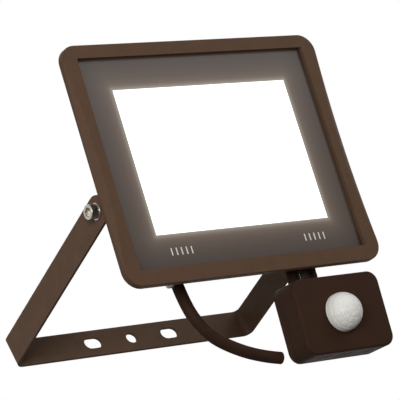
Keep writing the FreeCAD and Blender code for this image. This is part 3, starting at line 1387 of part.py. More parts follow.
def sensor_lead():
    """The lead's rubber sleeve, cut off along the top of the leaned lower bush."""
    high = PAD_Z - UPPER_BUSH_HEIGHT
    low = SENSOR[3]
    sleeve = rod(LEAD_RADIUS, (LEAD_X, LEAD_BEHIND_PIVOT, low), Z_AXIS, high - low)
    bush_top = SENSOR[3] + LOWER_BUSH_HEIGHT
    reach = 3 * LEAD_RADIUS
    below = block(
        LEAD_X - reach,
        LEAD_X + reach,
        LEAD_BEHIND_PIVOT - reach,
        LEAD_BEHIND_PIVOT + reach,
        bush_top - reach,
        bush_top,
    )
    below.Placement = SENSOR_PLACE
    return cut(sleeve, [below])


# ---------------------------------------------------------------------- output
HEAD_PLACE = FreeCAD.Placement(
    V(0, -PIVOT_FROM_WALL, 0), FreeCAD.Rotation(X_AXIS, HEAD_LEAN_DEG)
)
SENSOR_PLACE = FreeCAD.Placement(
    V(0, 0, 0), FreeCAD.Rotation(X_AXIS, SENSOR_LEAN_DEG), V(0, HINGE_Y, HINGE_Z)
)

HEAD_NODES = {
    "front_frame": front_frame,
    "frame_screws": frame_screws,
    "front_glass": front_glass,
    "glass_seal": glass_seal,
    "reflector": reflector,
    "led_board": led_board,
    "led_chips": led_chips,
    "board_screws": board_screws,
    "thermal_pad": thermal_pad,
    "rear_housing": rear_housing,
    "cover_seal": cover_seal,
    "rear_cover": rear_cover,
    "cover_screws": cover_screws,
    "terminal_block": terminal_block,
    "terminal_screws": terminal_screws,
    "driver_board": driver_board,
    "driver_coil": driver_coil,
    "driver_capacitor": driver_capacitor,
    "led_leads": led_leads,
    "mains_leads": mains_leads,
    "cable_gland": cable_gland,
    "gland_seal": gland_seal,
    "gland_nut": gland_nut,
    "cord_tail": cord_tail,
    "supply_cord": supply_cord,
    "earth_screw": earth_screw,
    "pivot_screws": pivot_screws,
    "flat_washers": flat_washers,
    "spring_washers": spring_washers,
    "sensor_bracket": sensor_bracket,
    "sensor_bracket_screws": sensor_bracket_screws,
    "lead_bush_upper": lead_bush_upper,
    "sensor_lead": sensor_lead,
    "hinge_screw": hinge_screw,
    "hinge_nut": hinge_nut,
}

SENSOR_NODES = {
    "sensor_front_cover": sensor_front_cover,
    "sensor_rear_case": sensor_rear_case,
    "sensor_seal": sensor_seal,
    "sensor_case_screws": sensor_case_screws,
    "sensor_lens": sensor_lens,
    "sensor_board": sensor_board,
    "pir_detector": pir_detector,
    "sensor_relay": sensor_relay,
    "sensor_capacitor": sensor_capacitor,
    "adjusters": adjusters,
    "lead_bush_lower": lead_bush_lower,
    "time_knob": lambda: knob(knob_xs()[0]),
    "daylight_knob": lambda: knob(knob_xs()[1]),
    "range_knob": lambda: knob(knob_xs()[2]),
}


def save(name, shape):
    shape.exportStep("parts/" + name + ".step")


def main():
    os.makedirs("parts", exist_ok=True)
    save("mounting_bracket", mounting_bracket())
    sensor_place = HEAD_PLACE.multiply(SENSOR_PLACE)
    for nodes, place in ((HEAD_NODES, HEAD_PLACE), (SENSOR_NODES, sensor_place)):
        for name, make in nodes.items():
            shape = make()
            shape.Placement = place.multiply(shape.Placement)
            save(name, shape)


main()
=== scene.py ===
import math

import bmesh
import bpy
from mathutils import Matrix, Vector


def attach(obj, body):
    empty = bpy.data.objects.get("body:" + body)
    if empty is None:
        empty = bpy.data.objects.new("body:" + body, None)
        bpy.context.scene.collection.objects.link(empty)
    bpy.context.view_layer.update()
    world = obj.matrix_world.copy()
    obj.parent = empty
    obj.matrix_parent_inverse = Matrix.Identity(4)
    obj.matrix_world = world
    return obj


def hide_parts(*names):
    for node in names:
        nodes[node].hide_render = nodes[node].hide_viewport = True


# Motion sensor security light, dressed over its construction model.
# Metres; the wall is the plane y = 0 and the light stands out from it towards -Y.

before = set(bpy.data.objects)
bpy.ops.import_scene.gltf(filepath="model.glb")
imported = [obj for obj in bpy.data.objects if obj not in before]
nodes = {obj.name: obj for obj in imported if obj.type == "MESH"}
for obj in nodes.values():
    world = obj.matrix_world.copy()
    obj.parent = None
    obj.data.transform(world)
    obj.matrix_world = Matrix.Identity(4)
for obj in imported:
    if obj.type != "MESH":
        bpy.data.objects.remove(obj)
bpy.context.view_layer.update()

MM = 0.001

# The lamp head leans about its pivot. Pieces on it are drawn upright, in
# millimetres from the pivot, and placed with this matrix.
PIVOT_FROM_WALL = 153.7
HEAD_LEAN_DEG = 17.5
HEAD_PLACE = (
    Matrix.Translation((0, -PIVOT_FROM_WALL * MM, 0))
    @ Matrix.Rotation(math.radians(HEAD_LEAN_DEG), 4, "X")
    @ Matrix.Scale(MM, 4)
)

# The sensor leans a little more, about its hinge.
HINGE_MM = Vector((0, 6.5, -59.5))
SENSOR_LEAN_DEG = 3.35
SENSOR_PLACE = (
    HEAD_PLACE
    @ Matrix.Translation(HINGE_MM)
    @ Matrix.Rotation(math.radians(SENSOR_LEAN_DEG), 4, "X")
    @ Matrix.Translation(-HINGE_MM)
)


# ------------------------------------------------------------------- materials
# Every noise texture has this roughness, and most of its values lie between these two.
NOISE_ROUGHNESS = 0.55
NOISE_LOW = 0.3
NOISE_HIGH = 0.7

# Roughness varies by this much either way, in patches finer than the mottle.
ROUGHNESS_SPREAD = 0.06
PATCH_TO_MOTTLE = 3.1
GRAIN_STRENGTH = 0.6


def srgb(red, green, blue):
    """A colour written as 0 to 255 values, as the linear values that shaders take."""
    linear = []
    for value in (red, green, blue):
        part = value / 255
        linear.append(part / 12.92 if part <= 0.04045 else ((part + 0.055) / 1.055) ** 2.4)
    return (*linear, 1.0)


def add(tree, kind, **inputs):
    """A shader node with some of its inputs set."""
    node = tree.nodes.new(kind)
    for name, value in inputs.items():
        node.inputs[name].default_value = value
    return node


def object_place(tree):
    """The place on the object, in metres, that the textures follow."""
    return tree.nodes.new("ShaderNodeTexCoord").outputs["Object"]


def math_node(tree, operation, first, second=None):
    """The result of a Math node on one or two values, each a number or a socket."""
    node = tree.nodes.new("ShaderNodeMath")
    node.operation = operation
    for index, value in enumerate((first, second)):
        if value is None:
            continue
        if isinstance(value, (int, float)):
            node.inputs[index].default_value = value
        else:
            tree.links.new(value, node.inputs[index])
    return node.outputs["Value"]


def noise(tree, where, scale, detail):
    """A noise value from 0 to 1, at a scale in waves per metre."""
    texture = tree.nodes.new("ShaderNodeTexNoise")
    texture.inputs["Scale"].default_value = scale
    texture.inputs["Detail"].default_value = detail
    texture.inputs["Roughness"].default_value = NOISE_ROUGHNESS
    tree.links.new(where, texture.inputs["Vector"])
    return texture.outputs["Fac"]


def spread(tree, value, low, high):
    """A noise value stretched to run from low to high."""
    node = tree.nodes.new("ShaderNodeMapRange")
    node.inputs["From Min"].default_value = NOISE_LOW
    node.inputs["From Max"].default_value = NOISE_HIGH
    node.inputs["To Min"].default_value = low
    node.inputs["To Max"].default_value = high
    tree.links.new(value, node.inputs["Value"])
    return node.outputs["Result"]


def roughen(tree, shader, height, depth, strength):
    """Fine relief on a shader: its height texture, its depth in metres and its strength."""
    bump = add(tree, "ShaderNodeBump", Distance=depth, Strength=strength)
    tree.links.new(height, bump.inputs["Height"])
    tree.links.new(bump.outputs["Normal"], shader.inputs["Normal"])


def shade(colour, factor):
    """A lighter or darker colour."""
    return (*[min(1.0, part * factor) for part in colour[:3]], 1.0)


def finish_material(
    name,
    colour,
    roughness,
    metallic=0.0,
    specular=0.5,
    mottle=0.12,
    mottle_scale=90.0,
    grain_scale=1400.0,
    grain_depth=0.00004,
):
    """A painted, moulded or metal finish: mottled colour, uneven roughness and a fine grain."""
    material = bpy.data.materials.new(name)
    material.use_nodes = True
    tree = material.node_tree
    shader = tree.nodes["Principled BSDF"]
    shader.inputs["Metallic"].default_value = metallic
    shader.inputs["Specular IOR Level"].default_value = specular
    where = object_place(tree)

    broad = noise(tree, where, mottle_scale, 4.0)
    ramp = tree.nodes.new("ShaderNodeValToRGB")
    ramp.color_ramp.elements[0].position = NOISE_LOW
    ramp.color_ramp.elements[0].color = shade(colour, 1 - mottle)
    ramp.color_ramp.elements[1].position = NOISE_HIGH
    ramp.color_ramp.elements[1].color = shade(colour, 1 + mottle)
    tree.links.new(broad, ramp.inputs["Fac"])
    tree.links.new(ramp.outputs["Color"], shader.inputs["Base Color"])

    patch = noise(tree, where, mottle_scale * PATCH_TO_MOTTLE, 2.0)
    rough = spread(tree, patch, roughness - ROUGHNESS_SPREAD, roughness + ROUGHNESS_SPREAD)
    tree.links.new(rough, shader.inputs["Roughness"])

    grain = noise(tree, where, grain_scale, 2.0)
    roughen(tree, shader, grain, grain_depth, GRAIN_STRENGTH)
    return material


FRAME_PAINT = finish_material(
    "frame_paint", srgb(91, 69, 53), 0.55, specular=0.08, mottle=0.07, grain_depth=0.00003
)
CAST_PAINT = finish_material(
    "cast_paint", srgb(66, 50, 39), 0.6, specular=0.08, mottle=0.1, grain_depth=0.00006
)
STRIP_PAINT = finish_material(
    "strip_paint", srgb(98, 75, 59), 0.55, specular=0.08, mottle=0.08, grain_depth=0.00003
)
SENSOR_PLASTIC = finish_material(
    "sensor_plastic", srgb(55, 36, 26), 0.55, specular=0.06, mottle=0.06, grain_depth=0.00002
)
# Dark nylon for the sensor bracket, gland and knobs, with painted light: its colour is made lighter
# than the sensor plastic to stand in for light that these parts in the head's shade don't get.
DARK_NYLON_PAINTED_LIGHTER = finish_material(
    "dark_nylon_painted_lighter", srgb(78, 60, 46), 0.55, specular=0.06, mottle=0.08, grain_depth=0.00002
)
BLACK_RUBBER = finish_material(
    "black_rubber", srgb(40, 30, 25), 0.75, specular=0.06, mottle=0.12, grain_depth=0.00004
)
CORD_RUBBER = finish_material(
    "cord_rubber", srgb(54, 37, 27), 0.6, specular=0.06, mottle=0.1, grain_depth=0.00004
)
ZINC = finish_material(
    "zinc_plate", srgb(176, 172, 164), 0.34, metallic=1.0, mottle=0.1, grain_scale=2600.0,
    grain_depth=0.00002,
)
BLACK_STEEL = finish_material(
    "black_steel", srgb(46, 36, 30), 0.45, metallic=0.7, mottle=0.1, grain_depth=0.00002
)
BRASS = finish_material(
    "brass", srgb(190, 154, 92), 0.3, metallic=1.0, mottle=0.08, grain_depth=0.00001
)
COPPER = finish_material(
    "copper", srgb(184, 115, 80), 0.35, metallic=1.0, mottle=0.1, grain_scale=4000.0,
    grain_depth=0.00003,
)
WHITE_PLASTIC = finish_material(
    "white_plastic", srgb(226, 224, 218), 0.45, mottle=0.03, grain_depth=0.00001
)
WHITE_INK = finish_material(
    "white_ink", srgb(226, 224, 218), 0.5, mottle=0.05, grain_depth=0.00001
)
PHOSPHOR = finish_material(
    "phosphor", srgb(236, 205, 92), 0.35, mottle=0.08, grain_scale=5000.0, grain_depth=0.00001
)
BOARD_WHITE = finish_material(
    "board_white", srgb(228, 228, 222), 0.4, mottle=0.03, grain_depth=0.00001
)
BOARD_GREEN = finish_material(
    "board_green", srgb(24, 86, 46), 0.35, mottle=0.1, mottle_scale=260.0, grain_depth=0.00001
)
GREY_PAD = finish_material(
    "grey_pad", srgb(126, 130, 134), 0.8, mottle=0.06, grain_depth=0.00003
)
DARK_CORE = finish_material(
    "dark_core", srgb(40, 40, 44), 0.6, mottle=0.12, grain_depth=0.00004
)
BLUE_CASE = finish_material(
    "blue_case", srgb(34, 62, 132), 0.4, mottle=0.05, grain_depth=0.00001
)
LEAD_SHEATH = finish_material(
    "lead_sheath", srgb(118, 66, 36), 0.45, mottle=0.06, grain_depth=0.00001
)

NODE_FINISH = {
    FRAME_PAINT: ["front_frame"],
    CAST_PAINT: ["rear_housing", "rear_cover"],
    STRIP_PAINT: ["mounting_bracket"],
    SENSOR_PLASTIC: ["sensor_front_cover", "sensor_rear_case", "sensor_seal"],
    DARK_NYLON_PAINTED_LIGHTER: [
        "sensor_bracket",
        "cable_gland",
        "gland_nut",
        "time_knob",
        "daylight_knob",
        "range_knob",
    ],
    BLACK_RUBBER: ["glass_seal", "cover_seal", "gland_seal"],
    CORD_RUBBER: ["cord_tail", "sensor_lead", "lead_bush_upper", "lead_bush_lower"],
    ZINC: [
        "frame_screws",
        "cover_screws",
        "board_screws",
        "earth_screw",
        "pivot_screws",
        "flat_washers",
        "spring_washers",
        "sensor_bracket_screws",
        "sensor_case_screws",
        "pir_detector",
    ],
    BLACK_STEEL: ["hinge_screw", "hinge_nut"],
    BRASS: ["terminal_screws"],
    WHITE_PLASTIC: ["reflector", "terminal_block"],
    PHOSPHOR: ["led_chips"],
    BOARD_WHITE: ["led_board"],
    BOARD_GREEN: ["driver_board", "sensor_board"],
    GREY_PAD: ["thermal_pad"],
    DARK_CORE: ["driver_coil", "driver_capacitor", "sensor_capacitor"],
    BLUE_CASE: ["sensor_relay", "adjusters"],
    LEAD_SHEATH: ["led_leads", "mains_leads"],
}
for material, names in NODE_FINISH.items():
    for node_name in names:
        mesh = nodes[node_name].data
        mesh.materials.clear()
        mesh.materials.append(material)


# -------------------------------------------------------------- mesh building
def piece_from(name, mesh_data, body, materials, place=HEAD_PLACE):
    """A new object placed on a body, with its finishes."""
    mesh = bpy.data.meshes.new(name)
    mesh_data.to_mesh(mesh)
    mesh_data.free()
    mesh.transform(place)
    for material in materials:
        mesh.materials.append(material)
    piece = bpy.data.objects.new(name, mesh)
    bpy.context.scene.collection.objects.link(piece)
    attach(piece, body)
    return piece


# ------------------------------------------------------------------ front glass
# The pane's edges and its clear window, in millimetres from the pivot.
GLASS_LEFT, GLASS_RIGHT = -94.9, 94.9
GLASS_LOW, GLASS_HIGH = -49.6, 101.6
GLASS_FRONT, GLASS_BACK = -13.6, -10.1
GROUND_EDGE = 0.4
WINDOW_LEFT, WINDOW_RIGHT = -71.0, 71.0
WINDOW_LOW, WINDOW_HIGH = -24.8, 77.2

# The lamp's light that spills into the dark border: how far it reaches, and its
# colour at shares of that reach, from the window outwards.
GLOW_REACH = 30.0
GLOW_STOPS = (
    (0.0, (150, 147, 136)),
    (0.04, (126, 119, 108)),
    (0.09, (104, 93, 82)),
    (0.14, (88, 76, 67)),
    (0.28, (72, 60, 52)),
    (0.5, (56, 46, 39)),
    (1.0, (22, 17, 14)),
)


def along(tree, direction):
    """How far a place lies along a direction, in millimetres."""
    dot = tree.nodes.new("ShaderNodeVectorMath")
    dot.operation = "DOT_PRODUCT"
    dot.inputs[1].default_value = [part / MM for part in direction]
    tree.links.new(object_place(tree), dot.inputs[0])
    return dot.outputs["Value"]


def head_x(tree):
    """The place across the head, in millimetres from its middle."""
    return along(tree, (1, 0, 0))


def head_z(tree):
    """The height in the leaned head, in millimetres from the pivot."""
    lean = math.radians(HEAD_LEAN_DEG)
    height = along(tree, (0, -math.sin(lean), math.cos(lean)))
    return math_node(tree, "ADD", height, -PIVOT_FROM_WALL * math.sin(lean))


def ramp_between(tree, value, stops):
    """A colour that follows a value from 0 to 1 through stops of (position, colour)."""
    ramp = tree.nodes.new("ShaderNodeValToRGB")
    elements = ramp.color_ramp.elements
    for element, (position, colour) in zip(elements, (stops[0], stops[-1])):
        element.position = position
        element.color = srgb(*colour)
    for position, colour in stops[1:-1]:
        elements.new(position).color = srgb(*colour)
    tree.links.new(value, ramp.inputs["Fac"])
    return ramp.outputs["Color"]


def beyond(tree, value, low, high):
    """How far a value lies outside low to high, or 0 inside."""
    off = math_node(tree, "SUBTRACT", value, (low + high) / 2)
    size = math_node(tree, "ABSOLUTE", off)
    over = math_node(tree, "SUBTRACT", size, (high - low) / 2)
    return math_node(tree, "MAXIMUM", over, 0.0)


def printed_glass():
    """Dark printed border of the glass, with the lamp's light spilling into it near the window."""
    material = bpy.data.materials.new("printed_glass")
    material.use_nodes = True
    tree = material.node_tree
    shader = tree.nodes["Principled BSDF"]
    shader.inputs["Specular IOR Level"].default_value = 0.3
    shader.inputs["Roughness"].default_value = 0.3
    shader.inputs["Emission Strength"].default_value = 1.0
    where = object_place(tree)
    mottle = noise(tree, where, 60.0, 3.0)
    tone = ramp_between(tree, mottle, ((0.0, (34, 25, 20)), (1.0, (42, 32, 26))))
    tree.links.new(tone, shader.inputs["Base Color"])

    side = beyond(tree, head_x(tree), WINDOW_LEFT, WINDOW_RIGHT)
    rise = beyond(tree, head_z(tree), WINDOW_LOW, WINDOW_HIGH)
    side_squared = math_node(tree, "MULTIPLY", side, side)
    rise_squared = math_node(tree, "MULTIPLY", rise, rise)
    distance = math_node(tree, "SQRT", math_node(tree, "ADD", side_squared, rise_squared))
    share = math_node(tree, "DIVIDE", distance, GLOW_REACH)
    glow = ramp_between(tree, share, GLOW_STOPS)
    tree.links.new(glow, shader.inputs["Emission Color"])

    roughen(tree, shader, noise(tree, where, 900.0, 2.0), 0.000004, 1.0)
    return material


def lit_window():
    """The clear part of the glass with the lamp on behind it: white, with a soft grain of chips."""
    material = bpy.data.materials.new("lit_window")
    material.use_nodes = True
    tree = material.node_tree
    shader = tree.nodes["Principled BSDF"]
    shader.inputs["Base Color"].default_value = (0.9, 0.9, 0.88, 1.0)
    shader.inputs["Roughness"].default_value = 0.2
    shader.inputs["Emission Strength"].default_value = 1.1
    dots = add(tree, "ShaderNodeTexVoronoi", Scale=110.0, Randomness=0.0)
    tree.links.new(object_place(tree), dots.inputs["Vector"])
    tone = tree.nodes.new("ShaderNodeValToRGB")
    tone.color_ramp.elements[0].color = (1.0, 1.0, 1.0, 1.0)
    tone.color_ramp.elements[1].color = (0.93, 0.93, 0.92, 1.0)
    tree.links.new(dots.outputs["Distance"], tone.inputs["Fac"])
    tree.links.new(tone.outputs["Color"], shader.inputs["Emission Color"])
    return material


def glass_pane():
    """A pane with a narrow ground edge, its faces split at the window's outline."""
    data = bmesh.new()
    xs = [GLASS_LEFT + GROUND_EDGE, WINDOW_LEFT, WINDOW_RIGHT, GLASS_RIGHT - GROUND_EDGE]
    zs = [GLASS_LOW + GROUND_EDGE, WINDOW_LOW, WINDOW_HIGH, GLASS_HIGH - GROUND_EDGE]
    faces = {}
    for y in (GLASS_FRONT, GLASS_BACK):
        grid = [[data.verts.new((x, y, z)) for x in xs] for z in zs]
        faces[y] = grid
        for row in range(3):
            for column in range(3):
                corners = [
                    grid[row][column],
                    grid[row][column + 1],
                    grid[row + 1][column + 1],
                    grid[row + 1][column],
                ]
                if y == GLASS_BACK:
                    corners.reverse()
                face = data.faces.new(corners)
                face.material_index = 1 if row == 1 and column == 1 else 0

    def rim(grid):
        """The outer vertices of a face, in order round it."""
        loop = list(grid[0])
        loop += [grid[1][3], grid[2][3], grid[3][3]]
        loop += [grid[3][2], grid[3][1], grid[3][0]]
        loop += [grid[2][0], grid[1][0]]
        return loop

    def edge_loop(y):
        """The same vertices moved out to the pane's edges, at another depth."""
        loop = []
        for vertex in rim(faces[GLASS_FRONT]):
            x, z = vertex.co.x, vertex.co.z
            x += GROUND_EDGE * ((x > GLASS_RIGHT - 1) - (x < GLASS_LEFT + 1))
            z += GROUND_EDGE * ((z > GLASS_HIGH - 1) - (z < GLASS_LOW + 1))
            loop.append(data.verts.new((x, y, z)))
        return loop

    loops = [
        rim(faces[GLASS_FRONT]),
        edge_loop(GLASS_FRONT + GROUND_EDGE),
        edge_loop(GLASS_BACK - GROUND_EDGE),
        rim(faces[GLASS_BACK]),
    ]
    for near, far in zip(loops, loops[1:]):
        for i in range(len(near)):
            j = (i + 1) % len(near)
            data.faces.new([near[j], near[i], far[i], far[j]])
    bmesh.ops.recalc_face_normals(data, faces=data.faces)
    return data


pane = piece_from(
    "front_glass_pane", glass_pane(), "lamp_head", [printed_glass(), lit_window()]
)
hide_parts("front_glass")

# Two short rows of plain strokes printed on the glass under the window.
STROKE_WIDTH = 0.9
STROKE_HEIGHT = 5.0
STROKE_THICKNESS = 0.06
STROKE_COUNT = 5
STROKE_PITCH = 4.0
STROKE_ROW_FROM_MIDDLE = 55.0
STROKE_ROW_HEIGHT = -37.0


def strokes(centre_x):
    """One row of strokes, on the face of the glass."""
    data = bmesh.new()
    size = Matrix.Diagonal((STROKE_WIDTH, STROKE_THICKNESS, STROKE_HEIGHT, 1))
    for i in range(STROKE_COUNT):
        x = centre_x + (i - (STROKE_COUNT - 1) / 2) * STROKE_PITCH
        centre = (x, GLASS_FRONT - STROKE_THICKNESS / 2, STROKE_ROW_HEIGHT)
        bmesh.ops.create_cube(data, size=1.0, matrix=Matrix.Translation(centre) @ size)
    return data


for row_name, side in (("strokes_left", -1), ("strokes_right", 1)):
    row = strokes(side * STROKE_ROW_FROM_MIDDLE)
    piece_from(row_name, row, "lamp_head", [WHITE_INK])


# ------------------------------------------------------------------ sensor lens
# A half ball in front of a short straight part, and a flange behind the cover's wall.
LENS_X, LENS_Z = 59.6, -90.1
LENS_FACE = -12.5
LENS_RADIUS = 13.2
LENS_RISE = 14.8
LENS_WALL = 1.0
LENS_SEAT_DEPTH = 2.2
LENS_FLANGE_RADIUS = 14.7
LENS_FLANGE_THICKNESS = 1.2
LENS_TURN_STEPS = 144
LENS_DOME_STEPS = 60
GROOVE_DEPTH = 0.22
GROOVE_WIDTH = 0.4
# Rings of cells pressed into the dome: start and end of each as a share of the
# quarter turn from its tip to its foot, and how many cells it has.
CELL_RINGS = ((0.0, 0.17, 1), (0.17, 0.37, 6), (0.37, 0.58, 12), (0.58, 0.8, 16))


def groove(share, turn):
    """How deep the lens surface lies below the dome, near the lines between its cells."""
    quarter = LENS_RADIUS * math.pi / 2
    deepest = 0.0
    for start, end, cells in CELL_RINGS:
        for line in (start, end):
            if line > 0:
                gap = (share - line) * quarter
                deepest = max(deepest, math.exp(-((gap / GROOVE_WIDTH) ** 2)))
        if cells > 1 and start <= share <= end:
            step = 2 * math.pi / cells
            away = abs((turn + step / 2) % step - step / 2)
            off = away * LENS_RADIUS * math.sin(share * math.pi / 2)
            deepest = max(deepest, math.exp(-((off / GROOVE_WIDTH) ** 2)))
    return GROOVE_DEPTH * deepest


def lens_mesh():
    """The hollow dome with its straight part and flange."""
    turns = LENS_TURN_STEPS
    steps = LENS_DOME_STEPS
    inner = LENS_RADIUS - LENS_WALL
    middle = LENS_FACE - LENS_RISE + LENS_RADIUS
    seat = LENS_FACE + LENS_SEAT_DEPTH
    back = seat + LENS_FLANGE_THICKNESS
    data = bmesh.new()

    def ring(r_of, y_of):
        """Vertices round the lens's axis, their radius and depth given by their number."""
        return [
            data.verts.new(
                (
                    LENS_X + r_of(i) * math.cos(2 * math.pi * i / turns),
                    y_of(i),
                    LENS_Z + r_of(i) * math.sin(2 * math.pi * i / turns),
                )
            )
            for i in range(turns)
        ]

    def plain(r, y):
        """A round ring of one radius at one depth."""
        return ring(lambda i: r, lambda i: y)

    def domed(share):
        """A ring on the grooved dome, at a share of the quarter turn from its tip."""

        def sunk(i):
            return LENS_RADIUS - groove(share, 2 * math.pi * i / turns)

        angle = share * math.pi / 2
        return ring(
            lambda i: sunk(i) * math.sin(angle), lambda i: middle - sunk(i) * math.cos(angle)
        )

    rings = [domed(s / steps) for s in range(1, steps + 1)]
    rings.append(plain(LENS_RADIUS, seat))
    rings.append(plain(LENS_FLANGE_RADIUS, seat))
    rings.append(plain(LENS_FLANGE_RADIUS, back))
    rings.append(plain(inner, back))
    for s in range(steps // 2, 0, -1):
        angle = math.pi / 2 * s / (steps // 2)
        rings.append(plain(inner * math.sin(angle), middle - inner * math.cos(angle)))
    for near, far in zip(rings, rings[1:]):
        for i in range(turns):
            j = (i + 1) % turns
            data.faces.new([near[i], near[j], far[j], far[i]])
    tip = data.verts.new((LENS_X, middle - LENS_RADIUS, LENS_Z))
    hollow = data.verts.new((LENS_X, middle - inner, LENS_Z))
    for i in range(turns):
        j = (i + 1) % turns
        data.faces.new([rings[0][j], rings[0][i], tip])
        data.faces.new([rings[-1][i], rings[-1][j], hollow])
    bmesh.ops.recalc_face_normals(data, faces=data.faces)
    for face in data.faces:
        face.smooth = True
    return data


def lens_plastic():
    """Milky moulded plastic that lets a little light through."""
    material = finish_material(
        "lens_plastic", srgb(238, 237, 230), 0.38, specular=0.3, mottle=0.03, mottle_scale=260.0,
        grain_scale=1800.0, grain_depth=0.00002,
    )
    shader = material.node_tree.nodes["Principled BSDF"]
    shader.inputs["Subsurface Weight"].default_value = 0.15
    shader.inputs["Subsurface Radius"].default_value = (0.002, 0.002, 0.002)
    return material


lens = piece_from(
    "sensor_dome", lens_mesh(), "sensor", [lens_plastic()], place=SENSOR_PLACE
)
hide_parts("sensor_lens")


# ------------------------------------------------------------------ supply cord
# The cord's diameter and length in metres, and its route in millimetres from the
# pivot: its two ends, and the corners that its bends round off.
CORD_DIAMETER = 0.0083
CORD_ROUTE_MM = [
    (-48.50, 11.0, -50.50),
    (-46.70, 11.0, -67.15),
    (-39.80, 11.0, -82.67),
    (-28.00, 11.0, -94.77),
    (-2.03, 11.0, -107.05),
    (15.95, 11.0, -110.40),
]


def supply_cord():
    """A round rubber sheath along the cord's route, its corners rounded off."""
    curve = bpy.data.curves.new("supply_cord_sheath", "CURVE")
    curve.dimensions = "3D"
    spline = curve.splines.new("NURBS")
    spline.points.add(len(CORD_ROUTE_MM) - 1)
    for point, place in zip(spline.points, CORD_ROUTE_MM):
        point.co = (*(HEAD_PLACE @ Vector(place)), 1.0)
    spline.order_u = 3
    spline.use_endpoint_u = True
    spline.resolution_u = 24
    curve.bevel_depth = CORD_DIAMETER / 2
    curve.bevel_resolution = 10
    curve.use_fill_caps = True
    curve.materials.append(CORD_RUBBER)
    cord = bpy.data.objects.new("supply_cord_sheath", curve)
    bpy.context.scene.collection.objects.link(cord)
    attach(cord, "lamp_head")
    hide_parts("supply_cord")
    return cord


# The cores at the cut end: how far each lies from the cord's middle, how deep it
# is rooted, and the radius and reach of its sheath and of its copper.
CORE_FROM_MIDDLE = 1.6
CORE_ROOT = 1.0
CORE_SHEATH = (1.25, 0.25)
CORE_COPPER = (0.6, 0.45)


def cord_cores():
    """The three cores that show at the cord's cut end."""
    end = Vector(CORD_ROUTE_MM[-1])
    out = (end - Vector(CORD_ROUTE_MM[-2])).normalized()
    turn = out.to_track_quat("Z", "Y").to_matrix().to_4x4()
    data = bmesh.new()
    for i in range(3):
        angle = math.radians(90 + 120 * i)
        offset = turn @ (CORE_FROM_MIDDLE * Vector((math.cos(angle), math.sin(angle), 0)))
        for index, (radius, reach) in enumerate((CORE_SHEATH, CORE_COPPER)):
            middle = end + offset + out * (reach - CORE_ROOT) / 2
            made = bmesh.ops.create_cone(
                data,
                cap_ends=True,
                segments=28,
                radius1=radius,
                radius2=radius,
                depth=reach + CORE_ROOT,
                matrix=Matrix.Translation(middle) @ turn,
            )
            touched = {face for vertex in made["verts"] for face in vertex.link_faces}
            for face in touched:
                face.material_index = index
                face.smooth = len(face.verts) == 4
    return data


cord = supply_cord()
cores = piece_from(
    "supply_cord_cores", cord_cores(), "lamp_head", [LEAD_SHEATH, COPPER]
)


# ---------------------------------------------------------------- floor and light
# The floor and the world are pale where they are seen, and dimmer as a source of light.
FLOOR_Z = -0.9
FLOOR_HALF_SIZE = 6.0
FLOOR_SEEN = 0.93
FLOOR_BOUNCE = 0.2
WORLD_SEEN = 1.0
WORLD_LIGHT = 0.2


def backdrop_seen(tree):
    """1 for the camera, in gloss and through clear parts, and 0 for other light."""
    path = tree.nodes.new("ShaderNodeLightPath")
    seen = math_node(tree, "ADD", path.outputs["Is Camera Ray"], path.outputs["Is Glossy Ray"])
    seen = math_node(tree, "ADD", seen, path.outputs["Is Transmission Ray"])
    return math_node(tree, "MINIMUM", seen, 1.0)


def seen_or_not(tree, seen, unseen):
    """One value where the backdrop is seen, and another for other light."""
    value = tree.nodes.new("ShaderNodeMapRange")
    value.inputs["To Min"].default_value = unseen
    value.inputs["To Max"].default_value = seen
    tree.links.new(backdrop_seen(tree), value.inputs["Value"])
    return value.outputs["Result"]


def pale_stage():
    """A plain pale floor well below the wall light, which sends back little light."""
    data = bmesh.new()
    bmesh.ops.create_grid(data, x_segments=1, y_segments=1, size=FLOOR_HALF_SIZE)
    mesh = bpy.data.meshes.new("floor")
    data.to_mesh(mesh)
    data.free()
    mesh.transform(Matrix.Translation((0, 0, FLOOR_Z)))
    material = bpy.data.materials.new("floor_white")
    material.use_nodes = True
    tree = material.node_tree
    shader = tree.nodes["Principled BSDF"]
    shader.inputs["Roughness"].default_value = 0.9
    tone = seen_or_not(tree, FLOOR_SEEN, FLOOR_BOUNCE)
    tree.links.new(tone, shader.inputs["Base Color"])
    mesh.materials.append(material)
    floor = bpy.data.objects.new("floor", mesh)
    bpy.context.scene.collection.objects.link(floor)


pale_stage()


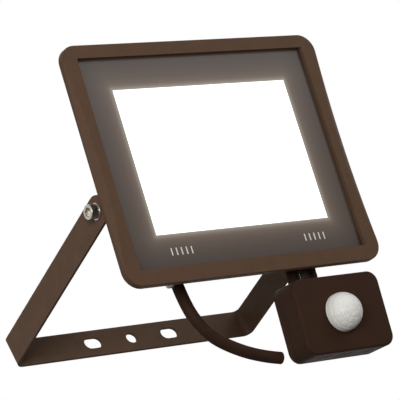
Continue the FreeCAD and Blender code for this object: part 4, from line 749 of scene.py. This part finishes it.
def white_world():
    """White wherever the backdrop is seen; a plain dimmer level as light."""
    world = bpy.data.worlds.new("studio")
    bpy.context.scene.world = world
    world.use_nodes = True
    tree = world.node_tree
    background = tree.nodes["Background"]
    background.inputs["Color"].default_value = (1.0, 1.0, 1.0, 1.0)
    strength = seen_or_not(tree, WORLD_SEEN, WORLD_LIGHT)
    tree.links.new(strength, background.inputs["Strength"])


white_world()

# Both lamps are large squares that face the middle of the light.
LAMP_SIZE = 1.2
LAMP_TARGET = (0, -0.15, 0)


def soft_lamp(name, place, power):
    """A square area lamp, its power in watts."""
    lamp = bpy.data.lights.new(name, "AREA")
    lamp.shape = "SQUARE"
    lamp.size = LAMP_SIZE
    lamp.energy = power
    holder = bpy.data.objects.new(name, lamp)
    bpy.context.scene.collection.objects.link(holder)
    holder.location = place
    aim = Vector(LAMP_TARGET) - Vector(place)
    holder.rotation_euler = aim.to_track_quat("-Z", "Y").to_euler()


soft_lamp("key", (-1.7, -1.8, -0.45), 42)
soft_lamp("fill", (1.2, -2.0, 0.8), 12)


# ----------------------------------------------------------------------- camera
# The view is from low on the left, with the camera rolled a little.
CAMERA_PLACE = (-0.986093, -1.206747, -0.787065)
CAMERA_RIGHT = Vector((0.80172241, -0.41543769, -0.42971235))
CAMERA_UP = Vector((0.07654571, -0.64166145, 0.76315879))
CAMERA_LENS_MM = 222.7
CAMERA_SENSOR_MM = 36.0

camera_data = bpy.data.cameras.new("camera")
camera_data.lens = CAMERA_LENS_MM
camera_data.sensor_width = CAMERA_SENSOR_MM
camera_data.sensor_fit = "HORIZONTAL"
camera_data.clip_start = 0.05
camera_data.clip_end = 50.0
camera = bpy.data.objects.new("camera", camera_data)
bpy.context.scene.collection.objects.link(camera)
back = CAMERA_RIGHT.cross(CAMERA_UP).normalized()
up = back.cross(CAMERA_RIGHT).normalized()
turned = Matrix((CAMERA_RIGHT.normalized(), up, back)).transposed().to_4x4()
camera.matrix_world = Matrix.Translation(CAMERA_PLACE) @ turned
bpy.context.scene.camera = camera

bpy.context.scene.view_settings.view_transform = "Standard"
